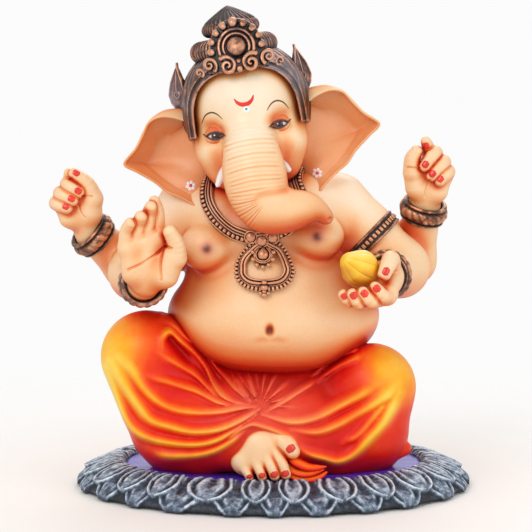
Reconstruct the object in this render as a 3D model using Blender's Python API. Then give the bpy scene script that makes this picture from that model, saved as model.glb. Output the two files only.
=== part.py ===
"""A seated, four-armed Ganesha idol on a lotus plinth, cast in parts and pinned together.

The figure faces -Y, +Z is up, and the origin is on the floor at the middle of the plinth.
Idol makers lay a figure out in finger widths, so every place below is in fingers (F) and
every size follows from HEIGHT. Left and right are the idol's own: its right is -X.
"""

import math

import bmesh
import bpy
from mathutils import Euler, Matrix, Vector

HEIGHT = 0.61
F = HEIGHT / 61

GAP = 0.0005
PIN_PLAY = 0.0003
SLIVER = 0.00001
HEAD_TILT = math.radians(-9)

PLINTH_HALF = (25.0, 18.6)
SEAT_HALF = (18.9, 13.2)
PETALS = 24
FELT_TOP = 0.2
PLINTH_TOP = 2.6
SEAT_TOP = 2.9
SEAT_BITE = 0.05
CUT_DEPTH = 20
CUT_SPAN = 0.8
BOARD_HALF = (20.0, 14.0)
BOARD_SPAN = (0.25, 0.8)

SPINE_AT = (-1.2, 2.0)
SPINE_RADIUS = 0.5
SPINE_SPAN = (1.0, 47.5)

SHOULDER_PIN = 0.35
WRIST_PIN = 0.25


def at(x, y, z):
    return Vector((x, y, z)) * F


HEAD = Matrix.Translation(at(-3.2, -1.5, 47.0)) @ Matrix.Rotation(HEAD_TILT, 4, "Y")


def on_head(x, y, z):
    """A place in the head's own tilted frame, whose origin is between the eyes and the ears."""
    return HEAD @ at(x, y, z)


# ---------------------------------------------------------------- materials


def paint(name, rgb, roughness, metallic=0.0):
    made = bpy.data.materials.new(name)
    made.use_nodes = True
    shader = made.node_tree.nodes["Principled BSDF"]
    shader.inputs["Base Color"].default_value = (*rgb, 1.0)
    shader.inputs["Roughness"].default_value = roughness
    shader.inputs["Metallic"].default_value = metallic
    return made


def make_paints():
    return {
        "skin": paint("skin", (0.90, 0.56, 0.30), 0.35),
        "cloth": paint("cloth", (0.80, 0.12, 0.03), 0.40),
        "bronze": paint("bronze", (0.20, 0.11, 0.07), 0.45, 0.6),
        "ivory": paint("ivory", (0.93, 0.91, 0.88), 0.30),
        "slate": paint("slate", (0.12, 0.13, 0.15), 0.55),
        "violet": paint("violet", (0.12, 0.05, 0.35), 0.45),
        "saffron": paint("saffron", (0.95, 0.62, 0.03), 0.35),
        "board": paint("board", (0.55, 0.40, 0.24), 0.80),
        "steel": paint("steel", (0.60, 0.60, 0.62), 0.35, 1.0),
        "felt": paint("felt", (0.05, 0.05, 0.05), 0.90),
    }


# ---------------------------------------------------------------- shaping tools


def clear_scene():
    for obj in list(bpy.data.objects):
        bpy.data.objects.remove(obj)


def add_object(name, bm, material):
    """The bmesh as a new object, with its faces pointing out."""
    bmesh.ops.recalc_face_normals(bm, faces=bm.faces)
    mesh = bpy.data.meshes.new(name)
    bm.to_mesh(mesh)
    bm.free()
    mesh.materials.append(material)
    obj = bpy.data.objects.new(name, mesh)
    bpy.context.scene.collection.objects.link(obj)
    return obj


def apply_modifiers(obj):
    graph = bpy.context.evaluated_depsgraph_get()
    shaped = bpy.data.meshes.new_from_object(obj.evaluated_get(graph))
    obj.modifiers.clear()
    old = obj.data
    obj.data = shaped
    bpy.data.meshes.remove(old)


def keep_largest(obj):
    """Drops the slivers that a cut can leave beside the main body."""
    bm = bmesh.new()
    bm.from_mesh(obj.data)
    bmesh.ops.remove_doubles(bm, verts=bm.verts, dist=SLIVER)
    unseen = set(bm.faces)
    bodies = []
    while unseen:
        body, edge_of_body = set(), [unseen.pop()]
        while edge_of_body:
            face = edge_of_body.pop()
            body.add(face)
            joined = [edge for edge in face.edges if len(edge.link_faces) == 2]
            near = {other for edge in joined for other in edge.link_faces} & unseen
            unseen -= near
            edge_of_body.extend(near)
        bodies.append(body)
    bodies.sort(key=len)
    loose = [face for body in bodies[:-1] for face in body]
    bmesh.ops.delete(bm, geom=loose, context="FACES")
    bm.to_mesh(obj.data)
    bm.free()


def boolean(obj, other, operation="DIFFERENCE", folded=False):
    """Cuts or joins by other, which is used up. A swollen copy can be folded through itself."""
    modifier = obj.modifiers.new(operation.lower(), "BOOLEAN")
    modifier.operation = operation
    modifier.use_self = folded
    modifier.object = other
    apply_modifiers(obj)
    bpy.data.objects.remove(other)


def grown(obj, by):
    """A copy of obj whose skin stands this far outside it."""
    copy = obj.copy()
    copy.data = obj.data.copy()
    bpy.context.scene.collection.objects.link(copy)
    swell = copy.modifiers.new("swell", "DISPLACE")
    swell.strength = by
    swell.mid_level = 0.0
    apply_modifiers(copy)
    return copy


def seat(obj, *neighbours, gap=GAP):
    """Cuts obj back from its neighbours, so that it fits against them with a small gap."""
    for other in neighbours:
        boolean(obj, grown(other, gap), folded=True)
    keep_largest(obj)
    return obj


def ball(bm, centre, radii, turn=(0, 0, 0), detail=3):
    place = Matrix.Translation(centre) @ Euler(turn).to_matrix().to_4x4()
    place = place @ Matrix.Diagonal((*(r * F for r in radii), 1.0))
    bmesh.ops.create_icosphere(bm, subdivisions=detail, radius=1.0, matrix=place)


def limb(bm, *stations, sides=14, rings=9):
    """Round-ended tapering rods through (place, radius) stations."""
    for (start, r_start), (end, r_end) in zip(stations, stations[1:]):
        turn = (end - start).to_track_quat("Z", "Y").to_matrix()
        made = bmesh.ops.create_uvsphere(bm, u_segments=sides, v_segments=rings, radius=1.0)
        for vert in made["verts"]:
            middle, radius = (end, r_end) if vert.co.z > 0 else (start, r_start)
            vert.co = middle + turn @ (vert.co * radius * F)


def rod(bm, start, end, radius, sides=16):
    axis = end - start
    place = Matrix.Translation((start + end) / 2) @ axis.to_track_quat("Z", "Y").to_matrix().to_4x4()
    bmesh.ops.create_cone(
        bm,
        cap_ends=True,
        segments=sides,
        radius1=radius,
        radius2=radius,
        depth=axis.length,
        matrix=place,
    )


def rod_object(name, start, end, radius, material, sides=16):
    bm = bmesh.new()
    rod(bm, start, end, radius, sides)
    return add_object(name, bm, material)


def drill(obj, start, end, radius, sides=16):
    boolean(obj, rod_object("drill", start, end, radius, obj.data.materials[0], sides))


def hollow(obj, *cores):
    """Leaves the space of each (place, radii) core empty inside a cast shell."""
    for centre, radii in cores:
        bm = bmesh.new()
        ball(bm, centre, radii, detail=1)
        boolean(obj, add_object("core", bm, obj.data.materials[0]))


def cast(name, bm, material, voxel, smoothing, triangles):
    """Fuses overlapping solids into one skin, softens the joins and thins the mesh."""
    obj = add_object(name, bm, material)
    skin = obj.modifiers.new("skin", "REMESH")
    skin.mode = "VOXEL"
    skin.voxel_size = voxel * F
    soften = obj.modifiers.new("soften", "SMOOTH")
    soften.factor = 0.5
    soften.iterations = smoothing
    apply_modifiers(obj)
    thin = obj.modifiers.new("thin", "DECIMATE")
    thin.ratio = min(1.0, triangles / (2 * len(obj.data.polygons)))
    apply_modifiers(obj)
    return obj


def loop_tube(bm, path, normal, tube, across=6, squash=1.0):
    """A closed tube round path; squash thins its section square to the loop's normal."""
    count = len(path)
    rings = []
    for i, point in enumerate(path):
        tangent = (path[(i + 1) % count] - path[i - 1]).normalized()
        out = tangent.cross(normal).normalized()
        along = out.cross(tangent)
        ring = []
        for j in range(across):
            angle = math.tau * (j + 0.5) / across
            offset = out * math.cos(angle) * tube * squash + along * math.sin(angle) * tube
            ring.append(bm.verts.new(point + offset))
        rings.append(ring)
    for ring, after in zip(rings, rings[1:] + rings[:1]):
        for j in range(across):
            k = (j + 1) % across
            bm.faces.new((ring[j], after[j], after[k], ring[k]))


def hoop(bm, centre, right, up, tube, around=20, across=6, squash=1.0):
    """A closed oval ring through centre plus right and up."""
    turns = [math.tau * i / around for i in range(around)]
    path = [centre + right * math.cos(turn) + up * math.sin(turn) for turn in turns]
    loop_tube(bm, path, right.cross(up).normalized(), tube, across, squash)


def closed_curve(points, steps):
    """A smooth closed path through points, with this many steps from each to the next."""
    count = len(points)
    path = []
    for i in range(count):
        before, start, end, after = (points[(i + k) % count] for k in (-1, 0, 1, 2))
        for step in range(steps):
            t = step / steps
            bend = (2 * before - 5 * start + 4 * end - after) * t**2
            path.append(
                start + ((end - before) * t + bend + (3 * start - before - 3 * end + after) * t**3) / 2
            )
    return path


def oval_stack(bm, levels, segments, outline=None):
    """A closed solid through (half width, half depth, height) ovals, bottom to top."""
    rings = []
    for half_x, half_y, z, scallop in levels:
        ring = []
        for i in range(segments):
            turn = math.tau * i / segments
            grow = 1.0 + (scallop * outline(i) if outline else 0.0)
            ring.append(bm.verts.new(at(half_x * grow * math.cos(turn), half_y * grow * math.sin(turn), z)))
        rings.append(ring)
    for ring, after in zip(rings, rings[1:]):
        for i in range(segments):
            k = (i + 1) % segments
            bm.faces.new((ring[i], ring[k], after[k], after[i]))
    bm.faces.new(reversed(rings[0]))
    bm.faces.new(rings[-1])


# ---------------------------------------------------------------- plinth


def make_plinth(paints):
    """Lotus plinth and seat disc, with the board, screws and felt that close it from below."""
    steps = 2 * PETALS

    def petal(i):
        return 1.0 if i % 2 == 0 else -1.0

    wide, deep = PLINTH_HALF
    bm = bmesh.new()
    oval_stack(
        bm,
        (
            (wide - 1.0, deep - 1.0, FELT_TOP, 0.02),
            (wide, deep, FELT_TOP + 0.6, 0.03),
            (wide - 1.2, deep - 1.2, 1.9, 0.02),
            (wide - 3.6, deep - 3.2, SEAT_TOP, 0.0),
            (SEAT_HALF[0] + 0.3, SEAT_HALF[1] + 0.3, SEAT_TOP + 0.1, 0.0),
            (SEAT_HALF[0] + 0.1, SEAT_HALF[1] + 0.1, PLINTH_TOP, 0.0),
        ),
        steps,
        petal,
    )
    plinth = add_object("lotus_plinth", bm, paints["slate"])

    bm = bmesh.new()
    oval_stack(bm, ((*BOARD_HALF, -1.0, 0), (*BOARD_HALF, BOARD_SPAN[1] + 0.05, 0)), 36)
    boolean(plinth, add_object("recess", bm, paints["slate"]))

    bm = bmesh.new()
    oval_stack(bm, ((*SEAT_HALF, PLINTH_TOP + 0.05, 0), (*SEAT_HALF, SEAT_TOP, 0)), 40)
    seat_disc = add_object("seat_disc", bm, paints["violet"])

    bm = bmesh.new()
    wide, deep = (half - 0.1 for half in BOARD_HALF)
    oval_stack(bm, ((wide, deep, BOARD_SPAN[0], 0), (wide, deep, BOARD_SPAN[1], 0)), 36)
    board = add_object("base_board", bm, paints["board"])

    bm = bmesh.new()
    oval_stack(bm, ((wide + 2.0, deep + 2.0, 0, 0), (wide + 2.0, deep + 2.0, FELT_TOP - 0.05, 0)), 36)
    add_object("base_felt", bm, paints["felt"])

    screws = [(16.5, 0), (-16.5, 0), (0, 11.0), (0, -11.0)]
    for number, (x, y) in enumerate(screws, start=1):
        make_screw(f"board_screw_{number}", x, y, board, plinth, paints)
    return plinth, seat_disc


def make_screw(name, x, y, board, plinth, paints):
    """A countersunk screw driven up through the board into the plinth."""
    head_z, neck_z, tip_z = BOARD_SPAN[0] + 0.02, BOARD_SPAN[0] + 0.3, 2.1
    bm = bmesh.new()
    profile = [(0.38, head_z), (0.18, neck_z), (0.18, tip_z - 0.3), (0.03, tip_z)]
    rings = []
    for radius, z in profile:
        made = bmesh.ops.create_circle(
            bm, cap_ends=False, segments=8, radius=radius * F, matrix=Matrix.Translation(at(x, y, z))
        )
        rings.append(made["verts"])
    for ring, after in zip(rings, rings[1:]):
        for i in range(8):
            k = (i + 1) % 8
            bm.faces.new((ring[i], ring[k], after[k], after[i]))
    bm.faces.new(rings[0])
    bm.faces.new(rings[-1])
    screw = add_object(name, bm, paints["steel"])
    seat(board, screw, gap=PIN_PLAY)
    seat(plinth, screw, gap=PIN_PLAY)


# ---------------------------------------------------------------- body


def make_torso(paints):
    """Belly, chest with its breasts, shoulders and neck."""
    bm = bmesh.new()
    ball(bm, at(0.1, 0.4, 22.4), (13.3, 11.2, 7.9))
    ball(bm, at(-0.6, 1.0, 27.5), (11.0, 9.5, 7.0))
    ball(bm, at(-1.3, 1.0, 33.0), (11.3, 8.4, 6.6), turn=(0, math.radians(-6), 0))
    for x, z in ((-8.3, 31.4), (5.3, 32.8)):
        ball(bm, at(x, -5.0, z), (3.5, 3.5, 3.1))
    for x, z in ((-6.8, 35.4), (3.6, 36.2)):
        ball(bm, at(x, -0.7, z), (4.6, 4.8, 4.4))
    limb(bm, (at(-1.8, 1.8, 36.0), 6.4), (at(-2.6, 1.6, 41.0), 4.6))
    return cast("torso", bm, paints["skin"], 0.5, 12, 760)


def make_dhoti(paints):
    bm = bmesh.new()
    ball(bm, at(-0.2, 3.0, 11.5), (13.2, 9.3, 8.6))
    ball(bm, at(-2.0, -3.2, 9.2), (13.0, 9.0, 6.2))
    limb(bm, (at(-8.0, 2.0, 13.0), 6.6), (at(-16.2, -3.2, 17.4), 5.6))
    limb(bm, (at(-16.2, -3.4, 17.2), 5.4), (at(-12.6, -4.2, 9.0), 6.0))
    limb(bm, (at(-12.0, -5.0, 8.6), 5.6), (at(-4.0, -7.6, 7.4), 4.4))
    limb(bm, (at(7.5, 2.0, 12.0), 6.4), (at(12.6, -3.4, 13.4), 5.3))
    limb(bm, (at(12.6, -3.6, 13.2), 5.3), (at(11.8, -4.0, 8.2), 5.6))
    limb(bm, (at(11.8, -4.4, 7.6), 4.6), (at(2.0, -7.6, 6.6), 4.2))
    dhoti = cast("dhoti", bm, paints["cloth"], 0.5, 12, 900)
    bm = bmesh.new()
    below = Matrix.Translation(at(0, 0, SEAT_TOP - CUT_DEPTH / 2 + SEAT_BITE))
    bmesh.ops.create_cube(bm, size=1.0, matrix=below @ Matrix.Diagonal((CUT_SPAN, CUT_SPAN, CUT_DEPTH * F, 1)))
    boolean(dhoti, add_object("floor", bm, paints["cloth"]))
    return dhoti


def make_head(paints):
    bm = bmesh.new()
    ball(bm, on_head(0, 0.6, 2.4), (7.2, 7.6, 6.6))
    ball(bm, on_head(0, 0.2, -1.2), (6.9, 7.0, 6.2))
    for side in (-1, 1):
        ball(bm, on_head(side * 3.2, -3.6, 4.4), (3.2, 3.0, 3.0))
        ball(bm, on_head(side * 4.2, -3.6, -3.6), (2.9, 3.2, 3.0))
    ball(bm, on_head(0, -4.4, 0.6), (3.4, 3.8, 4.8))
    limb(bm, (on_head(0, 1.0, -3.0), 5.6), (on_head(0.2, 1.6, -6.6), 4.8))
    return cast("head", bm, paints["skin"], 0.4, 10, 560)


def make_trunk(paints):
    """Hangs from the brow, thickens, then curls to the idol's left across the chest."""
    stations = (
        (on_head(0.0, -5.6, 0.2), 3.2),
        (on_head(-0.1, -7.6, -3.6), 3.3),
        (on_head(-0.1, -9.0, -6.4), 3.6),
        (on_head(0.1, -9.5, -8.8), 3.4),
        (on_head(1.3, -9.8, -10.2), 3.0),
        (on_head(3.3, -9.6, -10.4), 2.5),
        (on_head(5.6, -8.9, -10.8), 1.6),
        (on_head(7.6, -8.3, -12.3), 0.75),
    )
    bm = bmesh.new()
    limb(bm, *stations)
    trunk = cast("trunk", bm, paints["skin"], 0.35, 8, 340)
    bm = bmesh.new()
    ball(bm, on_head(0, 1.4, -0.4), (7.8, 8.2, 4.9))
    boolean(trunk, add_object("brow", bm, paints["skin"]))
    keep_largest(trunk)
    return trunk


EAR_ROOT = (
    (7.0, 2.4),
    (7.0, 1.4),
    (6.8, 0.0),
    (6.6, -1.4),
    (6.5, -2.8),
    (6.3, -4.0),
    (6.1, -5.0),
    (5.9, -5.8),
)
EAR_RIM = (
    (9.6, 3.3),
    (12.3, 1.8),
    (14.2, -0.9),
    (16.2, -2.9),
    (14.4, -4.3),
    (12.0, -6.5),
    (9.9, -7.9),
    (7.4, -9.4),
)


def make_ear(side, paints):
    """A cupped sheet between the root on the head and the rim, its lobe leaning forwards."""
    bm = bmesh.new()
    rows = []
    across = 6
    for (root_x, root_z), (rim_x, rim_z) in zip(EAR_ROOT, EAR_RIM):
        lean = 0.45 * max(0.0, -rim_z - 3.0)
        row = []
        for i in range(across + 1):
            s = i / across
            cup = math.sin(math.pi * min(1.0, 1.15 * s))
            x = root_x + (rim_x - root_x) * s
            z = root_z + (rim_z - root_z) * s
            row.append(bm.verts.new(on_head(side * x, 1.2 + 1.5 * cup - s - lean, z)))
        rows.append(row)
    for row, after in zip(rows, rows[1:]):
        for i in range(across):
            bm.faces.new((row[i], row[i + 1], after[i + 1], after[i]))
    ear = add_object("left_ear" if side > 0 else "right_ear", bm, paints["skin"])
    thicken = ear.modifiers.new("thickness", "SOLIDIFY")
    thicken.thickness = 0.7 * F
    thicken.offset = 0.0
    apply_modifiers(ear)
    return ear


def make_tusk(side, length, paints):
    bm = bmesh.new()
    root = on_head(side * 3.6, -5.6, -4.4)
    tip = on_head(side * 4.3, -8.4, -4.8 - length)
    limb(bm, (root, 1.1), ((root + tip) / 2 + at(0, -0.2, 0), 0.9), (tip, 0.35), sides=10, rings=7)
    name = "left_tusk" if side > 0 else "right_tusk"
    return cast(name, bm, paints["ivory"], 0.2, 3, 90)


# ---------------------------------------------------------------- headdress


def cap_form(name, swell, paints):
    """The rounded block that the cap is shaped on."""
    bm = bmesh.new()
    ball(bm, on_head(0, 1.2, 2.2), [r + swell / F for r in (8.2, 8.4, 7.9)], turn=(0, HEAD_TILT, 0))
    return add_object(name, bm, paints["bronze"])


def fit_on_cap(piece, paints, *neighbours):
    """Cuts a piece back to the outside of the cap, and from its other neighbours."""
    boolean(piece, cap_form("block", GAP, paints))
    return seat(piece, *neighbours)


def make_cap(head, paints):
    """Close-fitting cap with a face opening and side lappets that end in front of the ears."""
    cap = cap_form("cap", 0.0, paints)
    bm = bmesh.new()
    segments = 20
    front, back = [], []
    for i in range(segments):
        turn = math.tau * i / segments
        x, z = 7.0 * math.cos(turn), -0.6 + 6.9 * math.sin(turn)
        front.append(bm.verts.new(on_head(x, -12, z)))
        back.append(bm.verts.new(on_head(x * 1.05, -0.6, z * 1.05)))
    for i in range(segments):
        k = (i + 1) % segments
        bm.faces.new((front[i], front[k], back[k], back[i]))
    bm.faces.new(front)
    bm.faces.new(back)
    boolean(cap, add_object("face_opening", bm, paints["bronze"]))
    bm = bmesh.new()
    block = HEAD @ Matrix.Translation(at(0, 0, -10.2)) @ Matrix.Diagonal((22 * F, 22 * F, 18 * F, 1))
    bmesh.ops.create_cube(bm, size=1.0, matrix=block)
    boolean(cap, add_object("nape_cut", bm, paints["bronze"]))
    return seat(cap, head)


def make_buns(paints):
    """Two coils of hair and a topknot, stacked on the cap."""
    across, deep = on_head(1, 0, 0) - on_head(0, 0, 0), on_head(0, 1, 0) - on_head(0, 0, 0)
    bm = bmesh.new()
    hoop(bm, on_head(-0.3, 0.6, 9.7), across * 3.9, deep * 3.9, 1.7 * F)
    lower = fit_on_cap(add_object("lower_hair_coil", bm, paints["bronze"]), paints)
    bm = bmesh.new()
    hoop(bm, on_head(-0.3, 0.6, 12.2), across * 2.3, deep * 2.3, 1.45 * F, around=16)
    upper = seat(add_object("upper_hair_coil", bm, paints["bronze"]), lower)
    bm = bmesh.new()
    ball(bm, on_head(-0.3, 0.6, 11.8), (2.6, 2.6, 2.9), detail=2)
    topknot = fit_on_cap(add_object("topknot", bm, paints["bronze"]), paints, upper, lower)
    return lower, upper, topknot


def make_diadem(head, coils, paints):
    """Front plate of the crown, a pointed arch with a domed boss."""
    outline = ((0, 6.2), (2.2, 6.0), (4.3, 6.9), (4.4, 8.4), (3.6, 10.2), (2.2, 11.9), (0, 13.2))
    outline += tuple((-x, z) for x, z in reversed(outline[1:-1]))
    bm = bmesh.new()
    front = [bm.verts.new(on_head(x, -7.5 + 0.4 * (z - 6.0) + 0.09 * x * x, z)) for x, z in outline]
    back = [bm.verts.new(on_head(x, -6.0 + 0.4 * (z - 6.0) + 0.09 * x * x, z)) for x, z in outline]
    count = len(outline)
    for i in range(count):
        k = (i + 1) % count
        bm.faces.new((front[i], front[k], back[k], back[i]))
    bm.faces.new(front)
    bm.faces.new(back)
    bmesh.ops.triangulate(bm, faces=bm.faces)
    diadem = add_object("diadem", bm, paints["bronze"])
    bm = bmesh.new()
    ball(bm, on_head(0, -6.1, 9.6), (1.5, 0.9, 1.5), detail=2)
    boolean(diadem, add_object("boss", bm, paints["bronze"]), "UNION")
    return fit_on_cap(diadem, paints, head, *coils)


def make_finial(side, paints):
    """Upright leaf ornament over the ear."""
    name = "left_ear_finial" if side > 0 else "right_ear_finial"
    outline = ((0, 3.2), (1.3, 4.2), (1.2, 5.4), (0.3, 8.4), (-1.2, 5.6), (-1.5, 4.2))
    bm = bmesh.new()
    inner = [bm.verts.new(on_head(side * 7.6, 1.2 + x, z)) for x, z in outline]
    outer = [bm.verts.new(on_head(side * 8.5, 1.2 + x, z)) for x, z in outline]
    count = len(outline)
    for i in range(count):
        k = (i + 1) % count
        bm.faces.new((inner[i], inner[k], outer[k], outer[i]))
    bm.faces.new(inner)
    bm.faces.new(outer)
    return fit_on_cap(add_object(name, bm, paints["bronze"]), paints)


# ---------------------------------------------------------------- arms and hands

ARMS = {
    "right_front_arm": (
        (at(-10.6, 1.6, 35.2), 4.7),
        (at(-13.0, 1.4, 32.2), 3.9),
        (at(-16.8, 0.8, 27.6), 3.5),
        (at(-16.3, -7.4, 27.2), 2.0),
    ),
    "left_front_arm": (
        (at(8.6, 1.6, 36.4), 4.9),
        (at(12.4, 0.6, 32.8), 4.1),
        (at(16.6, 0.0, 28.2), 3.9),
        (at(14.2, -7.2, 28.2), 2.0),
    ),
    "right_rear_arm": (
        (at(-8.6, 6.8, 33.4), 3.6),
        (at(-18.8, 6.6, 27.6), 3.2),
        (at(-23.4, 4.0, 32.0), 2.1),
    ),
    "left_rear_arm": (
        (at(7.6, 6.8, 34.8), 3.6),
        (at(18.0, 6.8, 28.4), 3.2),
        (at(19.5, 4.2, 35.2), 2.1),
    ),
}


def make_arm(name, paints):
    bm = bmesh.new()
    limb(bm, *ARMS[name])
    return cast(name, bm, paints["skin"], 0.45, 5, 190)


def cut_wrist(arm, wrist, toward):
    """Ends the arm in a flat face at the wrist, square to the forearm."""
    face = toward.normalized()
    turn = face.to_track_quat("Z", "Y").to_matrix().to_4x4()
    bm = bmesh.new()
    block = Matrix.Translation(wrist + face * 5 * F) @ turn @ Matrix.Scale(10 * F, 4)
    bmesh.ops.create_cube(bm, size=1.0, matrix=block)
    boolean(arm, add_object("wrist_cut", bm, arm.data.materials[0]))
    keep_largest(arm)


def make_blessing_hand(paints):
    """Right front hand, palm to the front and fingers up."""
    bm = bmesh.new()
    limb(bm, (at(-16.2, -7.8, 27.2), 2.0), (at(-15.8, -9.8, 28.4), 2.0))
    ball(bm, at(-15.3, -10.6, 30.2), (3.5, 1.7, 4.1))
    ball(bm, at(-13.0, -11.2, 29.4), (1.8, 1.5, 3.0))
    limb(bm, (at(-17.8, -10.8, 32.2), 0.95), (at(-17.5, -11.6, 35.4), 0.8))
    limb(bm, (at(-16.4, -10.6, 33.2), 1.0), (at(-16.2, -11.6, 36.3), 0.85))
    limb(bm, (at(-15.0, -10.4, 33.6), 1.0), (at(-15.0, -11.2, 37.3), 0.85))
    limb(bm, (at(-13.8, -10.0, 33.6), 1.0), (at(-14.2, -10.2, 37.9), 0.85))
    limb(bm, (at(-12.4, -10.8, 30.8), 1.2), (at(-13.0, -11.8, 34.3), 0.8))
    return cast("right_front_hand", bm, paints["skin"], 0.3, 4, 340)


def make_offering_hand(paints):
    """Left front hand, palm up and fingers curled to hold the sweet."""
    bm = bmesh.new()
    limb(bm, (at(14.2, -7.6, 28.2), 2.0), (at(13.6, -9.4, 27.6), 2.0))
    ball(bm, at(11.6, -10.8, 26.4), (3.4, 3.0, 1.5))
    for x, lift in ((8.3, 0.0), (9.6, 0.0), (11.0, 0.1), (12.3, 0.3)):
        limb(
            bm,
            (at(x + 1.2, -11.6, 25.9), 0.9),
            (at(x + 0.3, -14.0, 25.9 + lift), 0.8),
            (at(x, -14.5, 26.8 + lift), 0.7),
        )
    limb(bm, (at(14.6, -9.6, 28.6), 1.4), (at(14.6, -11.6, 29.7), 1.1), (at(13.9, -13.0, 29.6), 0.75))
    return cast("left_front_hand", bm, paints["skin"], 0.3, 4, 360)


def make_fist(name, wrist, centre, side, paints):
    """Rear hand: three fingers folded on the palm, first finger and thumb raised together."""
    up = (centre - wrist).normalized()
    out = Vector((0, 1, 0)).cross(up).normalized() * -side
    front = Vector((0, -1, 0))

    def place(x, y, z):
        return centre + out * x * F + front * y * F + up * z * F

    bm = bmesh.new()
    limb(bm, (wrist, 2.0), (place(0, 0, -1.6), 2.4))
    ball(bm, place(0, -0.2, 0.0), (2.9, 2.0, 2.9))
    for x, z in ((1.9, -0.6), (1.3, 0.6), (0.6, 1.8)):
        limb(bm, (place(x, 0.9, z + 0.9), 0.95), (place(x - 1.8, 1.9, z), 0.75))
    limb(bm, (place(-0.6, 0.2, 1.6), 1.1), (place(-0.2, 0.4, 3.6), 0.85))
    limb(bm, (place(-1.8, 0.8, -0.6), 1.3), (place(-1.5, 1.3, 2.0), 0.95), (place(-0.5, 1.2, 3.2), 0.7))
    return cast(name, bm, paints["skin"], 0.3, 3, 280)


def make_bangle(name, centre, axis, radius, neighbours, paints):
    side = axis.orthogonal().normalized()
    up = axis.cross(side).normalized()
    bm = bmesh.new()
    hoop(bm, centre, side * radius * F, up * radius * F, 0.8 * F, squash=0.6)
    return seat(add_object(name, bm, paints["bronze"]), *neighbours)


def make_modak(paints):
    """Pleated sweet with a drawn-up peak."""
    bm = bmesh.new()
    profile = (
        (0.0, -2.1),
        (1.3, -1.95),
        (2.1, -1.1),
        (2.35, 0.0),
        (2.0, 1.0),
        (1.1, 1.8),
        (0.35, 2.35),
        (0.0, 2.6),
    )
    lean = Matrix.Translation(at(10.5, -11.6, 29.9)) @ Matrix.Rotation(math.radians(-28), 4, "Y")
    segments = 16
    rings = []
    for radius, z in profile[1:-1]:
        ring = []
        for i in range(segments):
            turn = math.tau * i / segments
            ring.append(bm.verts.new(lean @ at(radius * math.cos(turn), radius * math.sin(turn), z)))
        rings.append(ring)
    for ring, after in zip(rings, rings[1:]):
        for i in range(segments):
            k = (i + 1) % segments
            bm.faces.new((ring[i], ring[k], after[k], after[i]))
    for ring, end in ((rings[0], profile[0]), (rings[-1], profile[-1])):
        pole = bm.verts.new(lean @ at(0, 0, end[1]))
        for i in range(segments):
            bm.faces.new((ring[i], ring[(i + 1) % segments], pole))
    return add_object("modak", bm, paints["saffron"])


def make_foot(paints):
    bm = bmesh.new()
    limb(bm, (at(-3.0, -9.4, 9.0), 2.2), (at(-0.6, -11.0, 6.6), 2.5))
    ball(bm, at(-0.8, -11.4, 5.4), (3.1, 1.9, 2.4))
    for x, z in ((-2.9, 3.9), (-1.4, 4.0), (0.1, 4.1), (1.5, 4.4)):
        limb(bm, (at(x * 0.8 - 0.2, -11.8, z + 2.0), 0.9), (at(x, -13.1, z - 0.1), 0.75))
    limb(bm, (at(1.0, -11.4, 7.6), 1.4), (at(2.4, -12.9, 6.9), 1.1))
    return cast("right_foot", bm, paints["skin"], 0.3, 4, 280)


def make_sash(paints):
    bm = bmesh.new()
    ball(bm, at(4.6, -11.6, 3.9), (3.2, 1.7, 0.95), turn=(0, math.radians(8), 0), detail=2)
    ball(bm, at(3.6, -11.2, 4.9), (2.2, 1.5, 0.8), turn=(0, math.radians(22), 0), detail=2)
    return cast("sash_end", bm, paints["cloth"], 0.3, 3, 120)


# ---------------------------------------------------------------- neck ornaments


NECK_LOOP = (
    at(-2.1, -8.1, 32.9),
    at(-5.8, -7.5, 34.2),
    at(-8.2, -5.5, 37.0),
    at(-7.5, -0.4, 39.9),
    at(-5.6, 5.6, 41.0),
    at(-2.0, 7.8, 41.2),
    at(1.8, 5.6, 41.2),
    at(4.0, -0.4, 40.2),
    at(4.3, -5.2, 37.4),
    at(1.9, -7.4, 34.3),
)


def make_necklace(neighbours, paints):
    bm = bmesh.new()
    loop_tube(bm, closed_curve(NECK_LOOP, 3), Vector((0, 0.5, 0.87)), 0.85 * F)
    return seat(add_object("necklace", bm, paints["bronze"]), *neighbours)


def make_pendant(neighbours, paints):
    bm = bmesh.new()
    hoop(bm, at(-1.1, -8.9, 29.3), at(3.5, 0, 0), at(0, 0.65, 2.9), 0.75 * F, around=24)
    ring = seat(add_object("pendant_ring", bm, paints["bronze"]), *neighbours)
    bm = bmesh.new()
    ball(bm, at(-1.4, -8.3, 31.0), (1.3, 1.2, 1.7), detail=2)
    drop = seat(add_object("pendant_drop", bm, paints["bronze"]), *neighbours, ring)
    return ring, drop


# ---------------------------------------------------------------- assembly


def pin_joint(name, start, end, radius, pieces, paints):
    """A steel pin in a hole drilled through the pieces that it joins."""
    for piece in pieces:
        drill(piece, start, end, radius * F + PIN_PLAY, sides=8)
    reach = (end - start).normalized() * PIN_PLAY * 2
    rod_object(name, start + reach, end - reach, radius * F * 0.95, paints["steel"], sides=8)


def make_spine(plinth, seat_disc, dhoti, torso, head, paints):
    """Threaded rod that clamps the stack of castings, with its nut in a pocket under the plinth."""
    x, y = SPINE_AT
    low, high = SPINE_SPAN
    for piece in (plinth, seat_disc, dhoti, torso, head):
        drill(piece, at(x, y, low - 1.0), at(x, y, high + 0.1), SPINE_RADIUS * F + PIN_PLAY)
    drill(plinth, at(x, y, 0), at(x, y, 1.9), 1.6 * F, sides=20)
    rod_object("spine_rod", at(x, y, low), at(x, y, high), SPINE_RADIUS * F, paints["steel"])
    for name, bottom, top, radius, sides in (
        ("spine_nut", 1.05, 1.6, 0.95, 6),
        ("spine_washer", 1.64, 1.86, 1.3, 20),
    ):
        ring = rod_object(name, at(x, y, bottom), at(x, y, top), radius * F, paints["steel"], sides)
        drill(ring, at(x, y, bottom - 1), at(x, y, top + 1), SPINE_RADIUS * F + PIN_PLAY)


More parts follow.
